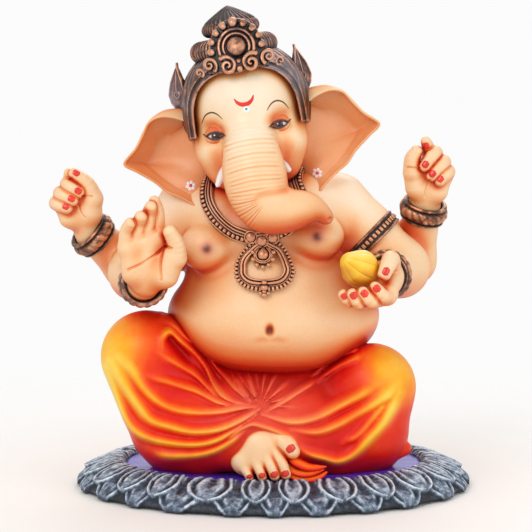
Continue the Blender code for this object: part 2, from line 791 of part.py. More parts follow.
def main():
    clear_scene()
    paints = make_paints()
    plinth, seat_disc = make_plinth(paints)

    torso = make_torso(paints)
    dhoti = seat(make_dhoti(paints), torso)
    head = seat(make_head(paints), torso)
    trunk = seat(make_trunk(paints), head, torso)
    ears = [fit_on_cap(make_ear(side, paints), paints, head, torso) for side in (-1, 1)]
    for side, length in ((-1, 2.6), (1, 1.2)):
        seat(make_tusk(side, length, paints), head, trunk)

    make_cap(head, paints)
    make_diadem(head, make_buns(paints), paints)
    for side in (-1, 1):
        make_finial(side, paints)

    front_arms = [seat(make_arm(name, paints), torso) for name in ("right_front_arm", "left_front_arm")]
    rear_arms = [
        seat(make_arm(name, paints), torso, front)
        for name, front in zip(("right_rear_arm", "left_rear_arm"), front_arms)
    ]
    hands = (
        make_blessing_hand(paints),
        make_offering_hand(paints),
        make_fist("right_rear_hand", at(-23.9, 3.6, 32.6), at(-25.6, 2.6, 36.4), 1, paints),
        make_fist("left_rear_hand", at(19.7, 3.8, 35.9), at(20.2, 2.6, 40.2), -1, paints),
    )
    arms = front_arms + rear_arms
    names = list(ARMS)
    for name, arm, hand in zip(names, arms, hands):
        stations = ARMS[name]
        (elbow, _), (wrist, _) = stations[-2:]
        cut_wrist(arm, wrist - (wrist - elbow).normalized() * 0.2 * F, wrist - elbow)
        seat(hand, arm)
        along = (wrist - elbow).normalized()
        pin_joint(
            name.replace("arm", "wrist_pin"),
            wrist - along * 2.2 * F,
            wrist + along * 1.4 * F,
            WRIST_PIN,
            (arm, hand),
            paints,
        )
        make_bangle(name.replace("arm", "bangle"), wrist, along, 2.65, (arm, hand), paints)
        shoulder, upper = stations[0][0], stations[1][0]
        inward = (shoulder - upper).normalized()
        pin_joint(
            name.replace("arm", "shoulder_pin"),
            shoulder + inward * 2.4 * F,
            shoulder - inward * 1.8 * F,
            SHOULDER_PIN,
            (torso, arm),
            paints,
        )
    for name, arm, rear in zip(("right_armlet", "left_armlet"), front_arms, rear_arms):
        (upper, radius), (elbow, _) = ARMS[arm.name][1:3]
        middle = upper.lerp(elbow, 0.15)
        make_bangle(name, middle, elbow - upper, radius + 0.3, (arm, torso, rear), paints)

    modak = make_modak(paints)
    seat(hands[1], modak)
    foot = seat(make_foot(paints), dhoti)
    seat(make_sash(paints), dhoti, foot)
    necklace = make_necklace((torso, head, *ears), paints)
    make_pendant((torso, necklace, trunk), paints)
    hollow(torso, (at(0, 1.2, 23.0), (10.4, 8.2, 5.6)), (at(-1.4, 2.4, 32.0), (7.0, 4.6, 5.4)))
    hollow(dhoti, (at(-0.5, 1.6, 8.2), (11.5, 6.8, 3.6)))
    drill(torso, at(-1.2, 2.0, 10.0), at(-1.2, 2.0, 20.0), 2.6 * F)
    drill(dhoti, at(-1.2, 2.0, 1.0), at(-1.2, 2.0, 8.0), 5.0 * F)
    make_spine(plinth, seat_disc, dhoti, torso, head, paints)


main()
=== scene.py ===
"""Looks for the seated, four-armed Ganesha idol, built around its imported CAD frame.

Places are in finger widths, the unit that the CAD part is laid out in, and the size of one
finger comes from the frame. The idol faces -Y, +Z is up, and its right is -X. Flesh and cloth
are sculpted as distance fields, meshed by surface nets and pulled onto the field; ornaments
are swept or stamped pieces. Paint is procedural: masks computed from the shape drive the nodes.
"""

import math
from concurrent.futures import ThreadPoolExecutor

import bpy
import numpy as np
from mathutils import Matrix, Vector
from mathutils.bvhtree import BVHTree


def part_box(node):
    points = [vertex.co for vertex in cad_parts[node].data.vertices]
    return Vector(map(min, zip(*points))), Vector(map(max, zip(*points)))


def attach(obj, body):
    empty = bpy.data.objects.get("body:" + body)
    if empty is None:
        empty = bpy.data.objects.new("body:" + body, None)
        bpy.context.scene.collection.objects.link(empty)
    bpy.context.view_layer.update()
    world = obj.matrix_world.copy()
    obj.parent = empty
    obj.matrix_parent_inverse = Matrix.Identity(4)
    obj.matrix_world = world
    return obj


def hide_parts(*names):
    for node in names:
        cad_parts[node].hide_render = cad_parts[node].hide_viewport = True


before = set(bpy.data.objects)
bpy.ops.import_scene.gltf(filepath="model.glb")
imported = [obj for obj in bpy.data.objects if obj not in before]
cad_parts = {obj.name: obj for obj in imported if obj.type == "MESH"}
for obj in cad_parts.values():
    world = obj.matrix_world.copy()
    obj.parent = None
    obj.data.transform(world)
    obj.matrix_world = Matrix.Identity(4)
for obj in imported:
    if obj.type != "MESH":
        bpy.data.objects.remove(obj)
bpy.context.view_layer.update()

SEAT_WIDTH = 37.8
seat_low, seat_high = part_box("seat_disc")
F = (seat_high.x - seat_low.x) / SEAT_WIDTH
COARSE = 1.0
CHUNK = 60000


# ---------------------------------------------------------------- distance fields


def vec(*values):
    return np.array(values, float)


def smooth_min(a, b, soft):
    near = np.maximum(soft - np.abs(a - b), 0.0) / soft
    return np.minimum(a, b) - near * near * soft * 0.25


def smooth_max(a, b, soft):
    return -smooth_min(-a, -b, soft)


def smoothstep(low, high, value):
    t = np.clip((value - low) / (high - low), 0.0, 1.0)
    return t * t * (3.0 - 2.0 * t)


def ellipsoid(points, centre, radii, turn=None):
    local = points - vec(*centre)
    if turn is not None:
        local = local @ turn
    radii = vec(*radii)
    k0 = np.linalg.norm(local / radii, axis=1)
    k1 = np.linalg.norm(local / (radii * radii), axis=1) + 1e-9
    return k0 * (k0 - 1.0) / k1


def tube(points, path, radii, soft=0.0):
    """Distance to a chain of tapered links through the path."""
    best = None
    for a, b, ra, rb in zip(path, path[1:], radii, radii[1:]):
        a, b = vec(*a), vec(*b)
        along = b - a
        t = np.clip((points - a) @ along / (along @ along), 0.0, 1.0)
        gap = points - a - t[:, None] * along
        d = np.sqrt(np.einsum("ij,ij->i", gap, gap)) - (ra + (rb - ra) * t)
        if best is None:
            best = d
        elif soft:
            best = smooth_min(best, d, soft)
        else:
            best = np.minimum(best, d)
    return best


def path_gap(where, path):
    """Distance to a flat path and the share of the path at its nearest place."""
    best = np.full(len(where), 1e9)
    share = np.zeros(len(where))
    for k, (a, b) in enumerate(zip(path, path[1:])):
        along = b - a
        t = np.clip((where - a) @ along / (along @ along), 0, 1)
        gap = where - a - t[:, None] * along
        d = np.hypot(gap[:, 0], gap[:, 1])
        share = np.where(d < best, (k + t) / (len(path) - 1), share)
        best = np.minimum(best, d)
    return best, share


def curve(stations, steps, closed=False):
    """Catmull-Rom curve through the stations, which may hold any number of values."""
    stations = [vec(*s) for s in stations]
    count = len(stations)
    if closed:
        padded = [stations[-1], *stations, stations[0], stations[1]]
    else:
        padded = [2 * stations[0] - stations[1], *stations, 2 * stations[-1] - stations[-2]]
        count -= 1
    rows = []
    for i in range(count):
        p0, p1, p2, p3 = padded[i : i + 4]
        for k in range(steps):
            t = k / steps
            bend = (2 * p0 - 5 * p1 + 4 * p2 - p3) * t * t
            rows.append(p1 + ((p2 - p0) * t + bend + (3 * p1 - p0 - 3 * p2 + p3) * t**3) / 2)
    if not closed:
        rows.append(stations[-1])
    return np.array(rows)


def turned(axis, degrees):
    """Rotation matrix about one axis, for row vectors going into the turned frame."""
    c, s = math.cos(math.radians(degrees)), math.sin(math.radians(degrees))
    if axis == "X":
        return np.array(((1, 0, 0), (0, c, -s), (0, s, c)))
    if axis == "Y":
        return np.array(((c, 0, s), (0, 1, 0), (-s, 0, c)))
    return np.array(((c, -s, 0), (s, c, 0), (0, 0, 1)))


def hashed(cells):
    """A repeatable number from 0 to 1 for each whole-number cell."""
    mixed = cells.astype(np.int64) @ np.array((73856093, 19349663, 83492791))
    mixed = (mixed ^ (mixed >> 13)) * 1274126177 & 0x7FFFFFFF
    return (mixed ^ (mixed >> 15)) % 100003 / 100003.0


def noise(points, scale):
    """Smooth value noise from -1 to 1, scale being the size of its cells."""
    where = points / scale
    base = np.floor(where)
    t = where - base
    t = t * t * (3 - 2 * t)
    total = 0.0
    for corner in np.ndindex(2, 2, 2):
        corner = np.array(corner)
        share = np.prod(np.where(corner, t, 1 - t), axis=1)
        total = total + share * hashed(base + corner)
    return 2 * total - 1


def evaluate(field, points):
    """The field at many points, in chunks spread over the processor's cores."""
    pieces = [points[i : i + CHUNK] for i in range(0, len(points), CHUNK)]
    with ThreadPoolExecutor(4) as pool:
        return np.concatenate(list(pool.map(field, pieces)))


TETRA = np.array(((1, -1, -1), (-1, -1, 1), (-1, 1, -1), (1, 1, 1)), float)


def slope(field, points, reach):
    total = np.zeros_like(points)
    for corner in TETRA:
        total += corner * evaluate(field, points + corner * reach)[:, None]
    return total / (4 * reach)


def sculpt(field, low, high, step):
    """Surface-nets mesh of field = 0 inside a box: points, quads and outward normals."""
    step *= COARSE
    low, high = vec(*low), vec(*high)
    block = 6
    counts = np.ceil((high - low) / (step * block)).astype(int)
    origins = np.stack(np.meshgrid(*[np.arange(n) for n in counts], indexing="ij"), -1).reshape(-1, 3)
    centres = low + (origins + 0.5) * block * step
    coarse = evaluate(field, centres)
    near = np.abs(coarse) < block * step * 1.5
    size = counts * block + 1
    grid = np.full(size, 1e3, np.float32)
    filled = np.where(coarse < 0, -1e3, 1e3).reshape(counts)
    for axis in range(3):
        filled = np.repeat(filled, block, axis)
    grid[: size[0] - 1, : size[1] - 1, : size[2] - 1] = filled
    corner = np.stack(np.meshgrid(*[np.arange(block + 1)] * 3, indexing="ij"), -1).reshape(-1, 3)
    index = (origins[near][:, None] * block + corner[None]).reshape(-1, 3)
    flat = np.unique(np.ravel_multi_index(index.T, size))
    index = np.stack(np.unravel_index(flat, size), -1)
    grid.reshape(-1)[flat] = evaluate(field, low + index * step)

    inside = grid < 0
    total = np.zeros(size - 1, np.uint8)
    for i, j, k in np.ndindex(2, 2, 2):
        total += inside[i : i + size[0] - 1, j : j + size[1] - 1, k : k + size[2] - 1]
    cells = np.stack(np.nonzero((total > 0) & (total < 8)), -1)
    number = np.full(size - 1, -1, np.int64)
    number[tuple(cells.T)] = np.arange(len(cells))
    corners = np.array(list(np.ndindex(2, 2, 2)))
    place = np.zeros((len(cells), 3))
    found = np.zeros(len(cells))
    for a in range(8):
        for b in range(a + 1, 8):
            if np.abs(corners[a] - corners[b]).sum() != 1:
                continue
            va = grid[tuple((cells + corners[a]).T)].astype(float)
            vb = grid[tuple((cells + corners[b]).T)].astype(float)
            crosses = (va < 0) != (vb < 0)
            t = np.where(crosses, va / np.where(crosses, va - vb, 1.0), 0.0)[:, None]
            place += np.where(crosses[:, None], corners[a] + t * (corners[b] - corners[a]), 0.0)
            found += crosses
    points = low + (cells + place / found[:, None]) * step

    quads = []
    for axis in range(3):
        b, c = (axis + 1) % 3, (axis + 2) % 3
        ahead = [slice(None)] * 3
        ahead[axis] = slice(1, None)
        here = [slice(None)] * 3
        here[axis] = slice(None, -1)
        change = inside[tuple(here)] != inside[tuple(ahead)]
        edges = np.stack(np.nonzero(change), -1)
        keep = (edges[:, b] > 0) & (edges[:, c] > 0)
        keep &= (edges[:, b] < size[b] - 1) & (edges[:, c] < size[c] - 1)
        edges = edges[keep]
        around = []
        for db, dc in ((1, 1), (0, 1), (0, 0), (1, 0)):
            cell = edges.copy()
            cell[:, b] -= db
            cell[:, c] -= dc
            around.append(number[tuple(cell.T)])
        made = np.stack(around, -1)
        outward = inside[tuple(edges.T)]
        made[~outward] = made[~outward][:, ::-1]
        quads.append(made)
    quads = np.concatenate(quads)
    quads = quads[(quads >= 0).all(1)]
    points = pulled(field, points, step)
    return points, quads, unit(slope(field, points, step * 0.3))


def pulled(field, points, step):
    """The points moved onto the field's surface, each by no more than most of a step."""
    for _ in range(2):
        gradient = slope(field, points, step * 0.25)
        value = evaluate(field, points)
        square = np.maximum((gradient * gradient).sum(1), 0.05)
        move = -gradient * (value / square)[:, None]
        length = np.linalg.norm(move, axis=1, keepdims=True)
        points = points + move * np.minimum(1.0, 0.6 * step / np.maximum(length, 1e-9))
    return points


def refined(points, quads):
    """Each quad cut into four, its new corners on the old edges' and faces' middles."""
    count = len(points)
    ends = np.sort(np.stack([quads, np.roll(quads, -1, 1)], -1).reshape(-1, 2), axis=1)
    edges, index = np.unique(ends, axis=0, return_inverse=True)
    middle = index.reshape(-1, 4) + count
    centre = np.arange(len(quads)) + count + len(edges)
    made = [np.stack([quads[:, k], middle[:, k], centre, middle[:, k - 1]], -1) for k in range(4)]
    return np.vstack((points, points[edges].mean(1), points[quads].mean(1))), np.concatenate(made)


def unit(rows):
    return rows / np.maximum(np.linalg.norm(rows, axis=-1, keepdims=True), 1e-12)


def occlusion(field, points, normals, reaches):
    """How enclosed each point is, 0 in the open and 1 in a deep crease."""
    total = 0.0
    for reach in reaches:
        total = total + np.clip(1 - evaluate(field, points + normals * reach) / reach, 0, 1.5)
    return total / len(reaches)


# ---------------------------------------------------------------- pieces


def add_piece(name, points, faces, material, nodes=(), normals=None, masks=None, flat=False):
    """A mesh piece on the idol's body, from places in fingers."""
    mesh = bpy.data.meshes.new(name)
    mesh.from_pydata((np.asarray(points) * F).tolist(), [], [tuple(map(int, f)) for f in faces])
    if not flat:
        mesh.shade_smooth()
    for key, values in (masks or {}).items():
        layer = mesh.attributes.new(key, "FLOAT", "POINT")
        layer.data.foreach_set("value", np.ascontiguousarray(values, np.float32))
    if normals is not None:
        mesh.normals_split_custom_set_from_vertices(np.asarray(normals).tolist())
    mesh.materials.append(material)
    made = bpy.data.objects.new(name, mesh)
    bpy.context.scene.collection.objects.link(made)
    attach(made, "root")
    if nodes:
        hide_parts(*nodes)
    return made


def open_loops(faces):
    """The chains of boundary vertices round a piece cut from a larger mesh."""
    ends = np.concatenate([faces[:, [k, (k + 1) % 4]] for k in range(4)])
    keys = ends[:, 0] * (faces.max() + 1) + ends[:, 1]
    back = ends[:, 1] * (faces.max() + 1) + ends[:, 0]
    free = ends[~np.isin(keys, back)]
    following = {}
    for a, b in free:
        following.setdefault(int(a), []).append(int(b))
    loops = []
    while following:
        start = min(following)
        loop = [start]
        while True:
            choices = following[loop[-1]]
            after = choices.pop()
            if not choices:
                del following[loop[-1]]
            if after == start or after not in following:
                break
            loop.append(after)
        loops.append(loop)
    return loops


def add_split(parts, labels, points, quads, field, step, mask_maker, material):
    """Cuts one sculpted mesh into pieces by face label. Each is closed by a fan inside the cut."""
    middles = points[quads].mean(1)
    chosen = labels(middles)
    for number, (name, nodes, fine) in enumerate(parts):
        faces = quads[chosen == number]
        used, index = np.unique(faces, return_inverse=True)
        faces = index.reshape(-1, 4)
        own = points[used]
        if fine:
            own, faces = refined(own, faces)
            own = pulled(field, own, step * 0.5)
        own_normals = unit(slope(field, own, step * (0.15 if fine else 0.3)))
        own_masks = mask_maker(own, own_normals)
        polygons = [tuple(face) for face in faces]
        for loop in open_loops(faces):
            centre = own[loop].mean(0) - own_normals[loop].mean(0) * 0.3
            own = np.vstack((own, centre))
            own_normals = np.vstack((own_normals, own_normals[loop].mean(0)))
            own_masks = {key: np.append(values, values[loop[0]]) for key, values in own_masks.items()}
            top = len(own) - 1
            polygons += [(b, a, top) for a, b in zip(loop, loop[1:] + loop[:1])]
        add_piece(name, own, polygons, material, nodes, own_normals, own_masks)


# ---------------------------------------------------------------- materials


def linear(red, green, blue):
    """A colour given as 0 to 255 screen values, as the linear values that nodes take."""
    values = []
    for value in (red, green, blue):
        share = value / 255
        values.append(share / 12.92 if share <= 0.04045 else ((share + 0.055) / 1.055) ** 2.4)
    return (*values, 1.0)


class Paint:
    """A material under construction. Its methods add one node and return that node's output."""

    def __init__(self, name, roughness=0.5, metallic=0.0, coat=0.0, coat_roughness=0.2):
        self.material = bpy.data.materials.new(name)
        self.material.use_nodes = True
        self.tree = self.material.node_tree
        self.shader = self.tree.nodes["Principled BSDF"]
        self.set("Roughness", roughness)
        self.set("Metallic", metallic)
        self.set("Coat Weight", coat)
        self.set("Coat Roughness", coat_roughness)
        self.where = self.tree.nodes.new("ShaderNodeTexCoord").outputs["Object"]

    def put(self, socket, value):
        if isinstance(value, bpy.types.NodeSocket):
            self.tree.links.new(value, socket)
        else:
            socket.default_value = value

    def set(self, name, value):
        self.put(self.shader.inputs[name], value)

    def noise(self, scale, detail=3.0, rough=0.5, where=None, output="Fac", distortion=0.0):
        made = self.tree.nodes.new("ShaderNodeTexNoise")
        self.put(made.inputs["Vector"], where or self.where)
        made.inputs["Scale"].default_value = scale
        made.inputs["Detail"].default_value = detail
        made.inputs["Roughness"].default_value = rough
        made.inputs["Distortion"].default_value = distortion
        return made.outputs[output]

    def cells(self, scale, feature="F1", output="Distance", where=None):
        made = self.tree.nodes.new("ShaderNodeTexVoronoi")
        made.feature = feature
        self.put(made.inputs["Vector"], where or self.where)
        made.inputs["Scale"].default_value = scale
        return made.outputs[output]

    def stretched(self, x, y, z):
        made = self.tree.nodes.new("ShaderNodeMapping")
        self.put(made.inputs["Vector"], self.where)
        made.inputs["Scale"].default_value = (x, y, z)
        return made.outputs["Vector"]

    def mask(self, name):
        made = self.tree.nodes.new("ShaderNodeAttribute")
        made.attribute_name = name
        return made.outputs["Fac"]

    def math(self, kind, a, b=0.0, clamp=False):
        made = self.tree.nodes.new("ShaderNodeMath")
        made.operation = kind
        made.use_clamp = clamp
        self.put(made.inputs[0], a)
        self.put(made.inputs[1], b)
        return made.outputs[0]

    def ramp(self, value, *stops):
        made = self.tree.nodes.new("ShaderNodeValToRGB")
        self.put(made.inputs["Fac"], value)
        points = made.color_ramp.elements
        while len(points) < len(stops):
            points.new(0.5)
        for point, (at, colour) in zip(points, stops):
            point.position = at
            point.color = colour if isinstance(colour, tuple) else (colour, colour, colour, 1.0)
        return made.outputs["Color"]

    def mix(self, share, a, b, kind="MIX"):
        made = self.tree.nodes.new("ShaderNodeMix")
        made.data_type = "RGBA"
        made.blend_type = kind
        self.put(made.inputs["Factor"], share)
        self.put(made.inputs[6], a)
        self.put(made.inputs[7], b)
        return made.outputs[2]

    def range(self, value, low, high, to_low=0.0, to_high=1.0):
        made = self.tree.nodes.new("ShaderNodeMapRange")
        self.put(made.inputs["Value"], value)
        for name, number in zip(("From Min", "From Max", "To Min", "To Max"), (low, high, to_low, to_high)):
            made.inputs[name].default_value = number
        return made.outputs["Result"]

    def facing(self, blend=0.5):
        made = self.tree.nodes.new("ShaderNodeLayerWeight")
        made.inputs["Blend"].default_value = blend
        return made.outputs["Facing"]

    def pointiness(self):
        return self.tree.nodes.new("ShaderNodeNewGeometry").outputs["Pointiness"]

    def bump(self, height, strength, distance):
        made = self.tree.nodes.new("ShaderNodeBump")
        self.put(made.inputs["Height"], height)
        made.inputs["Strength"].default_value = strength
        made.inputs["Distance"].default_value = distance
        self.set("Normal", made.outputs["Normal"])


def skin_paint():
    """Airbrushed flesh: cream where it swells, orange in the creases and on undersides, partly the airbrush and partly
    painted shade, more orange at grazing angles as painted shade, and a satin varnish over it.
    """
    paint = Paint("skin_airbrush_and_painted_shade", coat=0.25, coat_roughness=0.28)
    cloud = paint.range(paint.noise(9.0, 3.0), 0.35, 0.65, -0.05, 0.05)
    # Painted shade at the silhouette: more orange where the surface turns away from the view.
    edge = paint.math("MULTIPLY", paint.math("POWER", paint.facing(0.35), 2.4), 0.36)
    shade = paint.math("ADD", paint.mask("shade"), paint.math("ADD", cloud, edge))
    flesh = paint.ramp(
        shade,
        (0.0, linear(252, 233, 208)),
        (0.16, linear(250, 212, 168)),
        (0.32, linear(247, 188, 132)),
        (0.52, linear(238, 145, 82)),
        (0.74, linear(226, 96, 42)),
        (1.0, linear(200, 48, 22)),
    )
    flesh = paint.mix(paint.mask("blush"), flesh, linear(206, 104, 84))
    flesh = paint.mix(paint.mask("spot"), flesh, linear(92, 36, 38))
    speck = paint.range(paint.noise(420.0, 2.0), 0.3, 0.7, 0.97, 1.03)
    flesh = paint.mix(1.0, flesh, speck, "MULTIPLY")
    paint.set("Base Color", flesh)
    paint.set("Roughness", paint.range(paint.noise(35.0, 4.0), 0.3, 0.7, 0.36, 0.5))
    grain = paint.math("ADD", paint.noise(900.0, 2.0), paint.math("MULTIPLY", paint.noise(60.0, 3.0), 0.8))
    paint.bump(grain, 0.12, 0.0006)
    return paint.material


def dhoti_paint():
    """Brushed cloth paint with painted light: crimson valleys as painted shade, orange slopes, and yellow crests and
    knees that are partly the airbrush and partly painted highlight.
    """
    paint = Paint("dhoti_airbrush_and_painted_light", coat=0.08, coat_roughness=0.25)
    paint.set("Specular IOR Level", 0.2)
    streak = paint.range(paint.noise(26.0, 4.0, 0.6), 0.3, 0.7, -0.07, 0.07)
    tone = paint.math("ADD", paint.mask("tone"), streak, clamp=True)
    cloth = paint.ramp(
        tone,
        (0.0, linear(184, 6, 6)),
        (0.2, linear(222, 22, 10)),
        (0.4, linear(242, 66, 20)),
        (0.6, linear(250, 122, 30)),
        (0.8, linear(252, 178, 38)),
        (1.0, linear(253, 212, 84)),
    )
    # Pale peach over the crests round the middle, from the peach mask.
    cloth = paint.mix(paint.mask("peach"), cloth, linear(249, 152, 118))
    paint.set("Base Color", cloth)
    paint.set("Roughness", paint.range(paint.noise(30.0, 4.0), 0.3, 0.7, 0.34, 0.5))
    grain = paint.math("ADD", paint.noise(700.0, 2.0), paint.math("MULTIPLY", paint.noise(80.0, 3.0), 0.8))
    paint.bump(grain, 0.15, 0.0007)
    return paint.material


# ---------------------------------------------------------------- the figure's fields

HEAD_AT = vec(-3.2, -1.5, 47.0)
HEAD_TURN = turned("Y", -9.0)


def on_head(*place):
    """A place in the head's own tilted frame, as a place in the idol's frame."""
    return HEAD_AT + HEAD_TURN @ vec(*place)


def in_head(points):
    return (points - HEAD_AT) @ HEAD_TURN


ARMS = {
    "right_front_arm": ((-10.6, 1.6, 35.2, 4.7), (-13.2, 1.4, 32.2, 3.9), (-17.4, 0.6, 27.5, 3.6), (-16.3, -7.4, 27.2, 2.25)),
    "left_front_arm": ((8.0, 1.6, 35.6, 4.7), (11.8, 0.6, 32.4, 3.9), (16.1, 0.0, 28.2, 3.7), (14.2, -7.2, 28.2, 2.25)),
    "right_rear_arm": ((-8.6, 6.8, 33.4, 3.6), (-18.8, 6.6, 27.6, 3.2), (-23.4, 4.0, 32.0, 2.2)),
    "left_rear_arm": ((7.6, 6.8, 34.8, 3.6), (18.0, 6.8, 28.4, 3.2), (19.5, 4.2, 35.2, 2.2)),
}


def arm_field(name):
    stations = ARMS[name]
    path = [s[:3] for s in stations]
    radii = [s[3] for s in stations]
    return lambda points: tube(points, path, radii, 1.2)


NIPPLES = ((-8.3, 31.6), (5.4, 33.1))


def navel_fold(x):
    return 20.45 - 0.05 * (x + 0.4) ** 2


def torso_field(points):
    d = ellipsoid(points, (0.0, 0.3, 22.1), (13.6, 11.3, 7.8))
    d = smooth_min(d, ellipsoid(points, (-0.6, 0.6, 27.0), (10.3, 9.7, 6.6)), 1.8)
    d = smooth_min(d, ellipsoid(points, (-1.3, 1.0, 33.0), (11.3, 8.4, 6.6), turned("Y", -6)), 1.3)
    for x, z in ((-8.3, 31.4), (5.3, 32.8)):
        d = smooth_min(d, ellipsoid(points, (x, -5.0, z), (3.6, 3.6, 3.1)), 1.2)
    for x, z in NIPPLES:
        flat = np.hypot(points[:, 0] - x, points[:, 2] - z)
        d = d - 0.18 * np.exp(-((flat / 0.36) ** 2)) * (points[:, 1] < -4)
    crease = np.exp(-(((points[:, 2] - navel_fold(points[:, 0])) / 0.45) ** 2))
    d = d + 0.07 * crease * smoothstep(2.8, 0.8, np.abs(points[:, 0] + 0.4)) * smoothstep(-6.0, -9.0, points[:, 1])
    for x, z in ((-6.8, 35.4), (3.6, 36.2)):
        d = smooth_min(d, ellipsoid(points, (x, -0.7, z), (4.6, 4.8, 4.4)), 2.0)
    d = smooth_min(d, tube(points, ((-1.8, 1.8, 36.0), (-2.6, 1.6, 42.5)), (6.4, 4.6)), 2.0)
    navel = np.linalg.norm((points - vec(-0.5, -10.9, 21.7)) / vec(0.42, 1.6, 0.62), axis=1)
    return d + 0.9 * np.exp(-navel * navel)


def body_field(points):
    d = torso_field(points)
    for name in ARMS:
        d = smooth_min(d, arm_field(name)(points), 1.6)
    return d


TRUNK_DOWN = (
    (0.0, -4.4, 1.2, 2.8),
    (0.0, -6.2, -1.2, 3.0),
    (-0.1, -7.6, -3.8, 3.6),
    (-0.1, -8.9, -6.2, 3.95),
    (0.0, -9.6, -8.2, 3.7),
    (0.6, -9.9, -9.7, 3.3),
)
TRUNK_ACROSS = (
    (0.5, -9.6, -9.5, 3.1),
    (1.3, -10.2, -10.4, 3.0),
    (2.6, -10.6, -10.9, 2.75),
    (4.2, -10.4, -10.9, 2.4),
    (5.6, -9.7, -11.0, 1.95),
    (6.9, -8.9, -11.7, 1.35),
    (7.7, -8.3, -12.6, 0.95),
)
TRUNK_LENGTHS = (curve(TRUNK_DOWN, 4), curve(TRUNK_ACROSS, 6))
WRINKLE_GAP = 0.54
BEND = (1.5, -8.5)
BEND_RADIUS = 4.8
FOLD = ((3.3, -8.3), (1.2, -8.25), (0.1, -8.45), (-0.55, -9.0), (-0.9, -9.8))


def trunk_place(p):
    """Distance to the trunk, in the head's frame: one length down the face, one across below it."""
    down, across = (tube(p, line[:, :3], line[:, 3]) for line in TRUNK_LENGTHS)
    return smooth_min(down, across, 1.1)


def wrinkles(p):
    """Fine grooves across the trunk: bowed upwards, then fanning round the outside of its bend."""
    x, y, z = p.T
    turn = np.arctan2(BEND[1] - z, BEND[0] - x)
    lower = z < BEND[1]
    down = np.where(lower, -BEND[1] + turn * BEND_RADIUS, -z)
    bow = 0.05 * (x + 0.1) ** 2 * smoothstep(-9.0, -6.0, z)
    phase = (down - bow) / WRINKLE_GAP
    gap = np.abs(phase - np.round(phase)) * WRINKLE_GAP
    away = np.hypot(x - BEND[0], np.where(lower, z - BEND[1], 2.0 * (z - BEND[1])))
    span = smoothstep(0.3, 1.8, down) * smoothstep(14.0, 12.2, down) * smoothstep(1.1, 2.6, away)
    sides = np.where(lower, smoothstep(5.4, 4.5, away), smoothstep(3.7, 2.7, np.abs(x + 0.1)))
    uneven = 0.7 + 0.3 * np.sin(np.round(phase) * 2.3)
    return np.exp(-((gap / 0.1) ** 2)) * span * sides * uneven * smoothstep(-6.6, -7.6, y)


def fold(p):
    """The crease where the trunk's end turns across in front of it."""
    best, share = path_gap(p[:, [0, 2]], curve(FOLD, 5))
    return np.exp(-((best / 0.4) ** 2)) * smoothstep(1.0, 0.4, share) * smoothstep(-8.0, -10.0, p[:, 1])


def trunk_field(points):
    p = in_head(points)
    d = trunk_place(p)
    for x, z in ((7.75, -12.0), (8.15, -12.9)):
        pit = np.linalg.norm((p - vec(x, -8.9, z)) / vec(0.3, 0.45, 0.3), axis=1)
        d = d + 0.28 * np.exp(-pit * pit)
    lip = np.linalg.norm((p - vec(7.9, -8.4, -12.7)) / vec(0.75, 0.9, 0.9), axis=1)
    d = d - 0.22 * np.exp(-(lip**2))
    return d + 0.055 * wrinkles(p) + 0.12 * fold(p)


EYES = ((-4.15, -0.62), (3.8, -0.42))
EYE_SIZE = 1.2
EYE_Y = -5.95


def eye_opening(p, x, z):
    """Below zero inside the half-closed almond between the lids, seen from the front."""
    side = 1.0 if x > 0 else -1.0
    u, v = side * (p[:, 0] - x) / EYE_SIZE, (p[:, 2] - z) / EYE_SIZE
    upper = v - (0.16 - 0.32 * u * u + 0.06 * u)
    lower = -v - (0.44 - 0.38 * u * u - 0.06 * u)
    return np.maximum(upper, lower) * EYE_SIZE


def skull_field(points):
    p = in_head(points)
    d = ellipsoid(p, (0, 0.6, 2.4), (7.1, 7.5, 6.6))
    d = smooth_min(d, ellipsoid(p, (0, 0.2, -1.4), (6.7, 6.8, 6.0)), 2.0)
    d = smooth_min(d, ellipsoid(p, (0, -2.6, 3.4), (5.6, 4.9, 5.0)), 2.5)
    for side in (-1, 1):
        d = smooth_min(d, ellipsoid(p, (side * 4.3, -2.9, -3.0), (2.7, 3.3, 2.9)), 1.8)
        d = smooth_min(d, ellipsoid(p, (side * 3.7, -3.0, -5.6), (2.0, 2.4, 2.2)), 1.6)
    d = smooth_min(d, ellipsoid(p, (0, -4.2, 0.8), (2.9, 3.4, 4.4)), 2.2)
    d = smooth_min(d, tube(p, ((0, 1.0, -3.0), (0.2, 1.6, -6.6)), (5.4, 4.8)), 2.0)
    for x, z in EYES:
        hollow = np.linalg.norm((p - vec(x, EYE_Y + 0.2, z + 0.2)) / vec(1.9, 2.0, 1.5), axis=1)
        d = d + 0.42 * np.exp(-(hollow**3))
        ball = np.linalg.norm((p - vec(x, EYE_Y + 0.6, z - 0.1)) / vec(1.25, 1.0, 1.1), axis=1) - 1.1
        d = smooth_min(d, ball, 0.16)
        cut = np.maximum(eye_opening(p, x, z), np.abs(p[:, 1] - EYE_Y) - 1.4)
        d = smooth_max(d, -np.maximum(cut, -(ball + 0.2)), 0.06)
    return d


def head_field(points):
    return smooth_min(skull_field(points), trunk_field(points), 1.3)


